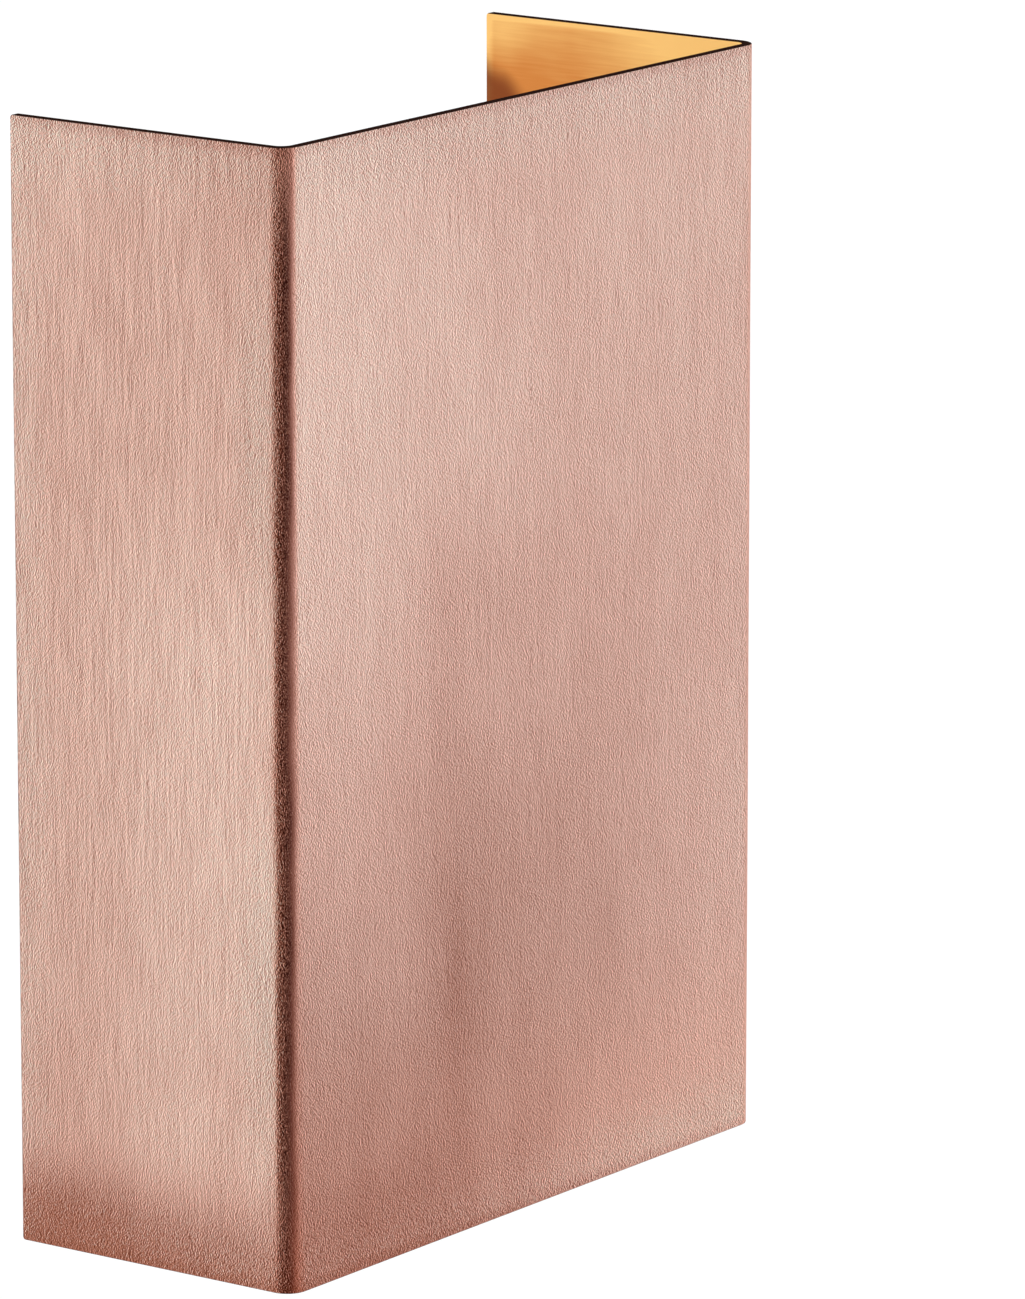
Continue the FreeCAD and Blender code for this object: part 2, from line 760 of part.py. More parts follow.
def earth_tag():
    """The ring tag under the earth screw, with its crimp barrel pointing down."""
    ring = rod(earth_point(plate_front), earth_point(plate_front - tag_thickness), tag_radius)
    half, low = tag_barrel_radius, -earth_drop - tag_reach
    neck = block((-earth_offset - half, -earth_offset + half), (plate_front - tag_thickness, plate_front),
                 (low, -earth_drop))
    top, bottom = barrel_ends()
    barrel = rod(top, bottom, tag_barrel_radius)
    hole = rod(earth_point(plate_front + overrun), earth_point(plate_front - tag_thickness - overrun),
               earth_screw_radius + seat)
    return ring.multiFuse([neck, barrel]).cut(hole).removeSplitter()


def barrel_ends():
    y, top = plate_front - tag_barrel_radius, -earth_drop - tag_reach + tag_barrel_length / 2
    return Vector(-earth_offset, y, top), Vector(-earth_offset, y, top - tag_barrel_length)


def driver_case():
    """The driver's plastic box, open to the rear, with an ear at each end and holes for its leads."""
    top = driver_height / 2
    lid_seat = driver_rear - driver_lid_thickness
    shell = block((-driver_half, driver_half), (cavity_front, lid_seat), (-top, top))
    shell = rounded(shell, Y, driver_corner)
    inside, inner_top = driver_half - driver_wall, top - driver_wall
    room = block((-inside, inside), (cavity_front + driver_wall, driver_rear), (-inner_top, inner_top))
    ears = [block((s * inside, s * (driver_half + ear_length)), (ear_front, ear_front + ear_thickness),
                  (-ear_height / 2, ear_height / 2)) for s in BOTH]
    shell = shell.multiFuse(ears).cut(room)
    cuts = [rod(Vector(s * ear_screw_x, ear_front - overrun, 0), Vector(s * ear_screw_x, driver_rear, 0),
                ear_screw_radius + passing) for s in BOTH]
    exit_y = driver_rear - led_lead_depth
    outside, inside = driver_half + overrun, inside - overrun
    cuts += [rod(Vector(-outside, exit_y, s * led_lead_offset), Vector(-inside, exit_y, s * led_lead_offset),
                 led_lead_radius + lead_clear) for s in BOTH]
    cuts += [rod(Vector(inside, exit_y, z), Vector(outside, exit_y, z), lead_radius + lead_clear)
             for z in mains_heights()]
    return shell.cut(Part.makeCompound(cuts)).removeSplitter()


def driver_lid():
    lid = block((-driver_half, driver_half), (driver_rear - driver_lid_thickness, driver_rear),
                (-driver_height / 2, driver_height / 2))
    return rounded(lid, Y, driver_corner)


def driver_board_face():
    return cavity_front + driver_wall + driver_board_stand + driver_board_thickness


def driver_board():
    """The circuit board, standing on two rails at the bottom of the case."""
    edge = driver_wall + driver_board_gap
    half, top, face = driver_half - edge, driver_height / 2 - edge, driver_board_face()
    board = block((-half, half), (face - driver_board_thickness, face), (-top, top))
    rails = [block((-half, half), (cavity_front + driver_wall, face - driver_board_thickness),
                   (s * top, s * (top - driver_board_stand))) for s in BOTH]
    return board.multiFuse(rails).removeSplitter()


def driver_transformer():
    face, half, top = driver_board_face(), transformer_length / 2, transformer_width / 2
    return rounded(block((-half, half), (face, face + transformer_height), (-top, top)), Y, driver_corner)


def driver_capacitors():
    """Cans in a row from the transformer towards the board's left end, as many as fit."""
    face, start = driver_board_face(), transformer_length / 2 + part_margin / 2
    room = driver_half - driver_wall - driver_board_gap - start
    cans = []
    for n in range(max(1, int(room / capacitor_pitch))):
        x = -(start + capacitor_radius + n * capacitor_pitch)
        cans.append(rod(Vector(x, face, 0), Vector(x, face + capacitor_height, 0), capacitor_radius))
    return cans


def driver_screws():
    head = ear_front + ear_thickness
    return [pan_screw(Vector(x, head - ear_screw_length, 0), Vector(x, head, 0), ear_screw_radius,
                      small_head_radius, small_head_height) for x in (-ear_screw_x, ear_screw_x)]


def mains_heights():
    """Heights at which the live and the neutral lead enter the driver's right end."""
    return [-lead_step, lead_step]


def mains_points(n):
    """A lead from the block's second or third pole, under the block, to the driver's right end."""
    x = pole_places[-1 - n]
    low = block_base - lead_drop - n * lead_step
    out = driver_half + lead_side_room + n * lead_step
    exit_y = driver_rear - led_lead_depth
    end_x, end_z = driver_half - driver_wall, mains_heights()[n]
    return [Vector(x, wire_y, block_base + lead_reach), Vector(x, wire_y, low), Vector(out, wire_y, low),
            Vector(out, exit_y, low), Vector(out, exit_y, end_z), Vector(end_x, exit_y, end_z)]


def earth_points():
    """The short lead from the tag's barrel round to the block's first pole."""
    end = barrel_ends()[1]
    low = end.z - lead_drop
    return [Vector(pole_places[0], wire_y, block_base + lead_reach), Vector(pole_places[0], wire_y, low),
            Vector(end.x, end.y, low), end]


def side_buffers():
    """Rubber buffers pushed into the housing's sides, ending just short of the shade."""
    buffers = []
    end = inner_half - buffer_gap
    for side in BOTH:
        for z in buffer_heights():
            def at(x):
                return Vector(side * x, window_y, z)
            knob = rod(at(housing_half), at(end), buffer_radius)
            rim = [edge for edge in knob.Edges if edge.BoundBox.Center.distanceToPoint(at(end)) < close]
            knob = knob.makeFillet(buffer_round, rim)
            stem = rod(at(housing_half - buffer_stem_length), at(housing_half), buffer_stem_radius)
            buffers.append(knob.fuse(stem).removeSplitter())
    return buffers


def bracket():
    """The angle bracket on the front panel's inner face that reaches over the housing."""
    half = bracket_width / 2
    upright = block((-half, half), (inner_front, inner_front + bracket_thickness),
                    (bracket_base, bracket_base + bracket_height))
    arm = block((-half, half), (inner_front, bracket_rear), (bracket_base, bracket_top))
    angle = upright.fuse(arm).removeSplitter()
    angle = angle.makeFillet(bracket_bend + bracket_thickness, corner_edges(angle, inner_front, bracket_base))
    angle = angle.makeFillet(bracket_bend, corner_edges(angle, inner_front + bracket_thickness, bracket_top))
    slot_radius = clamp_screw_radius + slot_room
    low, high = bracket_base - overrun, bracket_top + overrun
    slot = rod(Vector(0, clamp_y, low), Vector(0, clamp_y, high), slot_radius)
    mouth = block((-slot_radius, slot_radius), (clamp_y, bracket_rear + overrun), (low, high))
    holes = [rod(Vector(x, inner_front - overrun, stud_z),
                 Vector(x, inner_front + bracket_thickness + overrun, stud_z), stud_radius + passing)
             for x in stud_places()]
    return angle.cut(Part.makeCompound([slot.fuse(mouth).removeSplitter()] + holes))


def corner_edges(shape, y, z):
    """The edges along X at one place of a bracket's profile."""
    return [edge for edge in edges_at(shape, Y, y) if runs_along(edge, X)
            and abs(edge.CenterOfMass.z - z) < close]


def stud_places():
    return [s * stud_spread for s in BOTH]


def upper_studs():
    """Studs welded to the inside of the front panel, so that nothing shows outside."""
    return [rod(Vector(x, inner_front, stud_z), Vector(x, inner_front + stud_length, stud_z), stud_radius)
            for x in stud_places()]


def upper_washers():
    base = inner_front + bracket_thickness
    return [tube(Vector(x, base, stud_z), Vector(x, base + nut_washer_thickness, stud_z), nut_washer_radius,
                 stud_radius + seat) for x in stud_places()]


def upper_nuts():
    base = inner_front + bracket_thickness + nut_washer_thickness
    nuts = []
    for x in stud_places():
        bore = rod(Vector(x, base - overrun, stud_z), Vector(x, base + nut_height + overrun, stud_z),
                   stud_radius + seat)
        nuts.append(hexagon(x, stud_z, base, base + nut_height).cut(bore))
    return nuts


def clamp_washer():
    return tube(Vector(0, clamp_y, washer_base), Vector(0, clamp_y, washer_base + clamp_washer_thickness),
                clamp_washer_radius, clamp_screw_radius + seat)


def clamp_screw():
    """The knurled screw that clamps the bracket down on the housing."""
    base, top = Vector(0, clamp_y, head_base), Vector(0, clamp_y, head_base + knurl_height)
    head = rod(base, top, knurl_radius)
    rims = edges_at(head, Z, base.z) + edges_at(head, Z, top.z)
    head = head.makeChamfer(knurl_groove / 2, rims)
    grooves = []
    for n in range(knurl_count):
        angle = 2 * math.pi * n / knurl_count
        across = Vector(math.cos(angle), math.sin(angle), 0) * knurl_radius
        grooves.append(rod(base + across - Z * overrun, top + across + Z * overrun, knurl_groove / 2))
    drive = block((-knurl_radius - overrun, knurl_radius + overrun),
                  (clamp_y - knurl_slot_width / 2, clamp_y + knurl_slot_width / 2),
                  (top.z - knurl_slot_depth, top.z + overrun))
    head = head.cut(Part.makeCompound(grooves)).cut(drive)
    return head.fuse(rod(base - Z * clamp_screw_length, base, clamp_screw_radius)).removeSplitter()


def save(name, *solids):
    """Write one node's solids to its file."""
    shape = solids[0] if len(solids) == 1 else Part.makeCompound(list(solids))
    if not shape.isValid():
        print(f"{name} is not valid")
    shape.exportStep(f"parts/{name}.step")
    print(f"{name}: {len(shape.Solids)} solids, {shape.Volume / 1000:.2f} cm3")


def save_pair(name, solids, about):
    """Write an upper piece and the lower one, which is the same piece turned over."""
    save(f"upper_{name}", *solids)
    save(f"lower_{name}", *[half_turn(solid, about) for solid in solids])


def save_both(name, solids, about):
    """Write the upper pieces and the turned-over lower ones as one node."""
    save(name, *solids, *[half_turn(solid, about) for solid in solids])


save("shade", shade())
save_pair("bracket", [bracket()], ABOUT_FRONT)
save_both("shade_studs", upper_studs(), ABOUT_FRONT)
save_both("bracket_washers", upper_washers(), ABOUT_FRONT)
save_both("bracket_nuts", upper_nuts(), ABOUT_FRONT)
save_pair("clamp_screw", [clamp_screw()], ABOUT_FRONT)
save_pair("clamp_washer", [clamp_washer()], ABOUT_FRONT)

save("wall_gasket", wall_gasket())
save("wall_plate", wall_plate())
save("plate_pillars", *plate_pillars())
save("cable_grommet", cable_grommet())

save("housing", housing())
save("housing_screws", *housing_screws())
save("screw_seals", *screw_seals())
save("side_buffers", *side_buffers())

save_pair("thermal_pad", [thermal_pad()], ABOUT_WINDOWS)
save_pair("led_board", [board_blank(board_base, board_top)], ABOUT_WINDOWS)
save_pair("leds", leds(), ABOUT_WINDOWS)
save_pair("board_connector", [board_connector()], ABOUT_WINDOWS)
save_pair("reflector", [reflector()], ABOUT_WINDOWS)
save_pair("glass_seal", [glass_seal()], ABOUT_WINDOWS)
save_pair("glass", [glass()], ABOUT_WINDOWS)
save_pair("bezel", [bezel()], ABOUT_WINDOWS)
save_both("board_screws", board_screws(), ABOUT_WINDOWS)
save_both("bezel_screws", bezel_screws(), ABOUT_WINDOWS)
save_both("lead_seals", [lead_seal()], ABOUT_WINDOWS)

save("driver_case", driver_case())
save("driver_lid", driver_lid())
save("driver_board", driver_board())
save("driver_transformer", driver_transformer())
save("driver_capacitors", *driver_capacitors())
save("driver_screws", *driver_screws())

save("terminal_block", terminal_block())
save("terminal_clamps", *terminal_clamps())
save("terminal_screws", *terminal_screws())
save("block_screws", *block_screws())
save("earth_screw", earth_screw())
save("earth_washer", earth_washer())
save("earth_tag", earth_tag())

save("live_lead", lead(mains_points(0), lead_radius, "live_lead"))
save("neutral_lead", lead(mains_points(1), lead_radius, "neutral_lead"))
save("earth_lead", lead(earth_points(), lead_radius, "earth_lead"))
save("upper_led_lead", lead(led_lead(1), led_lead_radius, "upper_led_lead"))
save("lower_led_lead", lead(led_lead(-1), led_lead_radius, "lower_led_lead"))
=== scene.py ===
# %% [markdown]
# # Outdoor wall light with a folded copper shade
#
# The CAD model holds every solid of this light, each in its true place. This script dresses it: it gives each solid
# the finish of the real part, makes the shade, its studs and its nuts again with what CAD leaves out, and sets up a
# camera and a studio. Read it from top to bottom like a notebook. Lengths are in metres, and `mm` turns millimetres
# into them. The wall is at y = 0, the front looks towards -Y, and the light is centred on x = 0 and z = 0.

# %% The frame
import json
import math

import bmesh
import bpy
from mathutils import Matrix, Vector, noise

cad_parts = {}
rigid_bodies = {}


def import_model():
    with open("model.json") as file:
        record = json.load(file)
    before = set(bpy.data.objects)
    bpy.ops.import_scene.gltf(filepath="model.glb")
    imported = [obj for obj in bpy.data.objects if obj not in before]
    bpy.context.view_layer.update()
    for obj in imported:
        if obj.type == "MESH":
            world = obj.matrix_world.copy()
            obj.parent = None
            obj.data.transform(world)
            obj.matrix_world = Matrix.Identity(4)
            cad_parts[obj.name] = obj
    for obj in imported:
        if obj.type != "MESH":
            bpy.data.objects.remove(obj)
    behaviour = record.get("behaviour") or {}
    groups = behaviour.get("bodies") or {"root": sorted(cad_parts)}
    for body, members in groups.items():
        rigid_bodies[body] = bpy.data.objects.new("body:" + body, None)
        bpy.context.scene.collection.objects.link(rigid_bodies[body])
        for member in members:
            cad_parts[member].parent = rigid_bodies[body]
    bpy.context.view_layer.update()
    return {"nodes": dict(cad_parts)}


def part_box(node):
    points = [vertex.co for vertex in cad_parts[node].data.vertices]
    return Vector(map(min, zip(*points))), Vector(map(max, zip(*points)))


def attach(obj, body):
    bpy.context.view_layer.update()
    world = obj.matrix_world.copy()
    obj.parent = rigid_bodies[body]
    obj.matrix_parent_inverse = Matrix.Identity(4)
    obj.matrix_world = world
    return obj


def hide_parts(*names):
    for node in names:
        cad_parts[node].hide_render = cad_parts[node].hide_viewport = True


for leftover in list(bpy.data.objects):
    bpy.data.objects.remove(leftover)

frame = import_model()
nodes = frame["nodes"]
mm = 0.001

# %% [markdown]
# ## Camera
# The picture was taken from the left, a little above the light, through a long lens: the upright edges stay almost
# parallel. A long lens far away gives the same drawing as the photographer's. The place, the turn and the lens were
# measured from the shade's corners, so they are plain numbers here.

# %% The camera
camera_place = (-1.4188, -1.0972, 0.3998)
camera_turn = math.radians(53.85)
camera_tilt = math.radians(12.79)
camera_lens = 264.5
sensor_width = 36
far_enough = 100

camera = bpy.data.objects.new("camera", bpy.data.cameras.new("camera"))
camera.data.sensor_width = sensor_width
camera.data.lens = camera_lens
camera.data.clip_end = far_enough
camera.location = camera_place
camera.rotation_euler = (math.radians(90) - camera_tilt, 0, -camera_turn)
bpy.context.collection.objects.link(camera)
bpy.context.scene.camera = camera
bpy.context.scene.view_settings.view_transform = "Standard"
print(f"camera {Vector(camera_place).length:.2f} m away, {camera_lens} mm lens")

# %% [markdown]
# ## Nodes in one line
# Materials are graphs. Building them by hand takes three lines a node, so `add` makes a node, fills its sockets with
# values or links, and returns it. `tree` is always the graph that the node goes into.


# %% Nodes in one line
def fill(tree, socket, value):
    """Link an output to a socket, or set the socket's own value."""
    if isinstance(value, bpy.types.NodeSocket):
        tree.links.new(value, socket)
    else:
        socket.default_value = value


def add(tree, kind, settings=None, **sockets):
    """A node of one kind, with its settings and its named sockets filled."""
    made = tree.nodes.new(kind)
    for key, value in (settings or {}).items():
        setattr(made, key, value)
    for key, value in sockets.items():
        fill(tree, made.inputs[key.replace("_", " ")], value)
    return made


print("helpers: fill, add")

# %% [markdown]
# ## Arithmetic on patterns
# A pattern is a number at every point of the surface. Adding, multiplying and measuring such numbers is what turns a
# few simple patterns into wear, so the steps of arithmetic get short names.


# %% Arithmetic on patterns
def calc(tree, operation, *values):
    """One step of arithmetic on single numbers."""
    made = add(tree, "ShaderNodeMath", {"operation": operation})
    for socket, value in zip(made.inputs, values):
        fill(tree, socket, value)
    return made.outputs[0]


def total(tree, *values):
    """The sum of several numbers."""
    result = values[0]
    for value in values[1:]:
        result = calc(tree, "ADD", result, value)
    return result


def times(tree, *values):
    """The product of several numbers."""
    result = values[0]
    for value in values[1:]:
        result = calc(tree, "MULTIPLY", result, value)
    return result


def size_of(tree, value):
    """A number without its sign."""
    return calc(tree, "ABSOLUTE", value)


print("helpers: calc, total, times, size_of")

# %% [markdown]
# ## Arithmetic on vectors
# A point's place and the surface direction are vectors of three numbers. `split` and `join` go from one to the other,
# and `laid` puts the numbers in another order: a pattern that runs along Z then runs along the axis named last.


# %% Arithmetic on vectors
def aim(tree, operation, *values):
    """One step of arithmetic on vectors; a dot product or a length comes out as a number."""
    made = add(tree, "ShaderNodeVectorMath", {"operation": operation})
    for socket, value in zip(made.inputs, values):
        fill(tree, socket, value)
    single = operation in ("DOT_PRODUCT", "LENGTH", "DISTANCE")
    return made.outputs["Value" if single else "Vector"]


def split(tree, vector):
    """The three numbers of a vector."""
    return add(tree, "ShaderNodeSeparateXYZ", Vector=vector).outputs


def join(tree, x, y, z):
    """A vector from three numbers."""
    return add(tree, "ShaderNodeCombineXYZ", X=x, Y=y, Z=z).outputs[0]


def laid(tree, vector, order):
    """The same vector with its numbers in another order, such as "YZX"."""
    numbers = split(tree, vector)
    return join(tree, *[numbers["XYZ".index(axis)] for axis in order])


print("helpers: aim, split, join, laid")

# %% [markdown]
# ## Soft steps and colours
# Wear has no hard borders. `ramp` goes softly from one value to another between two limits, `band` rises and falls
# again, and `blend` mixes two colours by such a share. Colours are written as on a screen, from 0 to 255.


# %% Soft steps and colours
def ramp(tree, value, start, end, low=0.0, high=1.0):
    """A soft step: low before start, high after end."""
    made = add(tree, "ShaderNodeMapRange", {"interpolation_type": "SMOOTHSTEP"})
    for socket, number in zip(made.inputs, (value, start, end, low, high)):
        fill(tree, socket, number)
    return made.outputs[0]


def band(tree, value, start, end, soft):
    """1 between two limits, with soft sides."""
    return times(tree, ramp(tree, value, start - soft, start), ramp(tree, value, end + soft, end))


def blend(tree, share, first, second, way="MIX"):
    """Mix two colours."""
    made = add(tree, "ShaderNodeMix", {"data_type": "RGBA", "blend_type": way})
    for socket, value in ((0, share), (6, first), (7, second)):
        fill(tree, made.inputs[socket], value)
    return made.outputs[2]


def rgb(red, green, blue):
    """A colour as read from a screen, 0 to 255, turned into the linear values that light adds up in."""
    linear = [c / 255 / 12.92 if c < 10.3 else ((c / 255 + 0.055) / 1.055) ** 2.4 for c in (red, green, blue)]
    return (*linear, 1.0)


print("helpers: ramp, band, blend, rgb")

# %% [markdown]
# ## Studio
# The photograph is lit from all round by white surfaces, as in a product tent, with a dark gap where the
# photographer stands. Metal shows its surroundings, so that gap deepens the dark line down the fold. A world shader
# can be such a tent: it looks up the direction of each ray and is white everywhere but towards the place where the
# photographer stood. Rays that come straight from the camera get plain white, so the background is clean from every
# side.

# %% The studio
tent_glow = 1.05
gap_glow = 0.12
gap_begins, gap_is_full = 0.45, 0.9
toward_camera = Vector((camera_place[0], camera_place[1], 0)).normalized()

world = bpy.data.worlds.new("tent")
bpy.context.scene.world = world
world.use_nodes = True
sky = world.node_tree
sky.nodes.clear()
direction = add(sky, "ShaderNodeTexCoord").outputs["Generated"]
facing = aim(sky, "DOT_PRODUCT", direction, toward_camera)
tent = ramp(sky, facing, gap_begins, gap_is_full, tent_glow, gap_glow)
lit = add(sky, "ShaderNodeBackground", Color=(1, 1, 1, 1), Strength=tent)
seen = add(sky, "ShaderNodeBackground", Color=(1, 1, 1, 1), Strength=1.0)
camera_ray = add(sky, "ShaderNodeLightPath").outputs["Is Camera Ray"]
both = add(sky, "ShaderNodeMixShader")
for socket, value in zip(both.inputs, (camera_ray, lit.outputs[0], seen.outputs[0])):
    fill(sky, socket, value)
add(sky, "ShaderNodeOutputWorld", Surface=both.outputs[0])


def soft_light(name, place, target, size, power):
    """A square lamp with a wide face, turned to look at a point."""
    lamp = bpy.data.lights.new(name, "AREA")
    lamp.size, lamp.energy = size, power
    thing = bpy.data.objects.new(name, lamp)
    thing.location = place
    thing.rotation_euler = (Vector(target) - Vector(place)).to_track_quat("-Z", "Y").to_euler()
    bpy.context.collection.objects.link(thing)


soft_light("top_light", (-0.4, -0.8, 2.4), (0, 0, 0), 1.6, 12)
print("tent and one soft light")

# %% [markdown]
# ## Floor
# The floor is far below, as under a light on a wall, and large enough that its edge never shows.


# %% The floor
floor_height = -2.9
floor_half = 60


def new_object(name, mesh):
    """An object at the origin that holds a finished mesh."""
    thing = bpy.data.objects.new(name, mesh)
    bpy.context.collection.objects.link(thing)
    return thing


floor_mesh = bpy.data.meshes.new("floor")
work = bmesh.new()
bmesh.ops.create_grid(work, x_segments=1, y_segments=1, size=floor_half)
bmesh.ops.translate(work, verts=work.verts, vec=(0, 0, floor_height))
work.to_mesh(floor_mesh)
work.free()
floor = new_object("floor", floor_mesh)
print(f"floor {-floor_height} m below the light")

# %% [markdown]
# ## A material for each finish
# Every material starts as one Principled shader. What changes over a surface comes from patterns on Object
# coordinates, which sit still on the part. What is the same all over is set on the shader itself.


# %% Starting a material
def start(name, metallic=0.0, roughness=0.5, **plain):
    """A new material: its graph, its shader, and a point's place and surface direction on the part."""
    material = bpy.data.materials.new(name)
    material.use_nodes = True
    tree = material.node_tree
    shader = tree.nodes["Principled BSDF"]
    fill(tree, shader.inputs["Metallic"], metallic)
    fill(tree, shader.inputs["Roughness"], roughness)
    for key, value in plain.items():
        fill(tree, shader.inputs[key.replace("_", " ")], value)
    where = add(tree, "ShaderNodeTexCoord").outputs
    return material, tree, shader, where["Object"], where["Normal"]


def finish(tree, shader, colour=None, roughness=None, height=None, depth=0.05 * mm, metallic=None):
    """Feed the shader what changes over the surface: colour, roughness, metal share and a bump from a height."""
    for key, value in (("Base Color", colour), ("Roughness", roughness), ("Metallic", metallic)):
        if value is not None:
            fill(tree, shader.inputs[key], value)
    if height is not None:
        bump = add(tree, "ShaderNodeBump", Height=height, Distance=depth, Strength=1.0)
        fill(tree, shader.inputs["Normal"], bump.outputs[0])


print("helpers: start, finish")

# %% [markdown]
# ## Putting a finish on
# A solid gets its finish by name. The names that are still bare are kept in a set, so that the end can tell whether
# one was forgotten. The floor is no part of the light, and is the first thing to be painted.


# %% Putting a finish on
bare = set(nodes)


def dress(material, *names):
    """Give a material to CAD nodes by assigning it to their slots."""
    bare.difference_update(names)
    for name in names:
        for slot in nodes[name].material_slots:
            slot.material = material
        if not nodes[name].material_slots:
            nodes[name].data.materials.append(material)
    print(material.name, "on", ", ".join(names))


floor_glow = 0.1
floor_paint, tree, shader, place, normal = start("floor_paint", roughness=0.9)
unevenness = add(tree, "ShaderNodeTexNoise", Vector=place, Scale=0.5, Detail=2.0).outputs["Fac"]
finish(tree, shader, colour=blend(tree, unevenness, rgb(250, 250, 250), rgb(255, 255, 255)))
fill(tree, shader.inputs["Emission Color"], (1, 1, 1, 1))
fill(tree, shader.inputs["Emission Strength"], floor_glow)
floor.data.materials.append(floor_paint)
print("floor painted")

# %% [markdown]
# ## Shared effects
# A few effects come back in many finishes: streaks left by brushing, soft clouds of tone, grainy speckle, crystals
# in a zinc coat, rings left by a lathe, and settled dust. Each is a node group, built once by `effect` and placed in
# a material by `use`, with that material's own numbers.


# %% Shared effects
def effect(name, inputs, build):
    """A node group with a vector, some inputs with their usual values, and one number out."""
    group = bpy.data.node_groups.new(name, "ShaderNodeTree")
    group.interface.new_socket("Vector", in_out="INPUT", socket_type="NodeSocketVector")
    for key, usual in inputs.items():
        kind = "NodeSocketFloat" if isinstance(usual, float) else "NodeSocketVector"
        group.interface.new_socket(key, in_out="INPUT", socket_type=kind).default_value = usual
    group.interface.new_socket("Value", in_out="OUTPUT", socket_type="NodeSocketFloat")
    entry, leave = group.nodes.new("NodeGroupInput"), group.nodes.new("NodeGroupOutput")
    group.links.new(build(group, entry.outputs), leave.inputs["Value"])
    return group


def use(tree, group, place, **numbers):
    """Put a shared effect in a material with this material's own numbers."""
    return add(tree, "ShaderNodeGroup", {"node_tree": group}, Vector=place, **numbers).outputs["Value"]


def spot(tree, place, centre, reach):
    """A soft round zone: 1 at its centre, fading to 0 at its reach, both in millimetres along each axis."""
    away = aim(tree, "DIVIDE", aim(tree, "SUBTRACT", place, [c * mm for c in centre]), [r * mm for r in reach])
    return ramp(tree, aim(tree, "LENGTH", away), 1.0, 0.0)


even_low, even_high = 0.28, 0.72
print(f"noise between {even_low} and {even_high} is spread to the full range")

# %% [markdown]
# ## Brushing and grain
# Streaks are noise that is squeezed across the brushing and drawn out along it, which is all that brushing is. Grain
# is a rough surface in side light: every grain has a light side and a dark side. One noise less the same noise one
# grain further on gives such pairs, and no larger patches come up.


# %% Brushing and grain
def build_streaks(group, given):
    """Noise drawn out along Z: Width and Length are the size of one streak in metres."""
    across = calc(group, "DIVIDE", 1.0, given["Width"])
    along = calc(group, "DIVIDE", 1.0, given["Length"])
    stretched = aim(group, "MULTIPLY", given["Vector"], join(group, across, across, along))
    tone = add(group, "ShaderNodeTexNoise", Vector=stretched, Scale=1.0, Detail=given["Detail"]).outputs["Fac"]
    return ramp(group, tone, even_low, even_high)


def build_relief(group, given):
    """Grains in side light: Width and Length are the size of one grain in metres."""
    across = calc(group, "DIVIDE", 1.0, given["Width"])
    along = calc(group, "DIVIDE", 1.0, given["Length"])
    here = aim(group, "MULTIPLY", given["Vector"], join(group, across, across, along))
    beside = aim(group, "ADD", here, (one_grain, 0.0, 0.0))
    first, second = [add(group, "ShaderNodeTexNoise", Vector=at, Scale=1.0, Detail=0.0).outputs["Fac"]
                     for at in (here, beside)]
    return calc(group, "ADD", calc(group, "SUBTRACT", first, second), 0.5)


one_grain = 0.8
streaks = effect("streaks", {"Width": 0.3 * mm, "Length": 12 * mm, "Detail": 2.0}, build_streaks)
relief = effect("relief", {"Width": 0.2 * mm, "Length": 0.3 * mm}, build_relief)
print("shared effects:", streaks.name, relief.name)

# %% [markdown]
# ## Clouds, speckle and crystals
# Tone drifts slowly over any real surface, which is noise at a large scale. Speckle is fine noise that is cut off, so
# only its peaks stay. Crystals are the cells of a Voronoi pattern, each with one tone, and bending the coordinates a
# little by noise frays their borders.


# %% Clouds, speckle and crystals
def build_clouds(group, given):
    """Slow noise, spread to the full range from 0 to 1."""
    scale = calc(group, "DIVIDE", 1.0, given["Size"])
    tone = add(group, "ShaderNodeTexNoise", Vector=given["Vector"], Scale=scale, Detail=given["Detail"],
               Roughness=0.55).outputs["Fac"]
    return ramp(group, tone, even_low, even_high)


def build_speckle(group, given):
    """Grains on a bare ground, with Cover setting how much of the surface they take."""
    scale = calc(group, "DIVIDE", 1.0, given["Size"])
    grain = add(group, "ShaderNodeTexNoise", Vector=given["Vector"], Scale=scale, Detail=1.0).outputs["Fac"]
    low = calc(group, "SUBTRACT", 0.78, times(group, given["Cover"], 0.5))
    return ramp(group, grain, low, calc(group, "ADD", low, 0.1))


def build_crystals(group, given):
    """Cells that each have one tone, with frayed borders."""
    scale = calc(group, "DIVIDE", 1.0, given["Size"])
    fray = add(group, "ShaderNodeTexNoise", Vector=given["Vector"], Scale=times(group, scale, 2.0)).outputs["Color"]
    frayed = aim(group, "ADD", aim(group, "MULTIPLY", given["Vector"], join(group, scale, scale, scale)),
                 aim(group, "MULTIPLY", fray, (0.5, 0.5, 0.5)))
    cells = add(group, "ShaderNodeTexVoronoi", Vector=frayed, Scale=1.0).outputs["Color"]
    return add(group, "ShaderNodeSeparateColor", Color=cells).outputs["Red"]


clouds = effect("clouds", {"Size": 30 * mm, "Detail": 3.0}, build_clouds)
speckle = effect("speckle", {"Size": 0.4 * mm, "Cover": 0.5}, build_speckle)
crystals = effect("crystals", {"Size": 4 * mm}, build_crystals)
print("shared effects:", clouds.name, speckle.name, crystals.name)

# %% [markdown]
# ## Lathe rings and dust
# The rings are noise that changes only with the distance from an axis. Dust lies only on what faces up, and never
# evenly, so the surface direction gives the amount and noise gives the patches.


# %% Lathe rings and dust
def build_rings(group, given):
    """Turning marks round an axis along Z that goes through Centre."""
    outward = aim(group, "MULTIPLY", aim(group, "SUBTRACT", given["Vector"], given["Centre"]), (1, 1, 0))
    radius = calc(group, "DIVIDE", aim(group, "LENGTH", outward), given["Width"])
    return add(group, "ShaderNodeTexNoise", {"noise_dimensions": "1D"}, W=radius, Scale=1.0).outputs["Fac"]


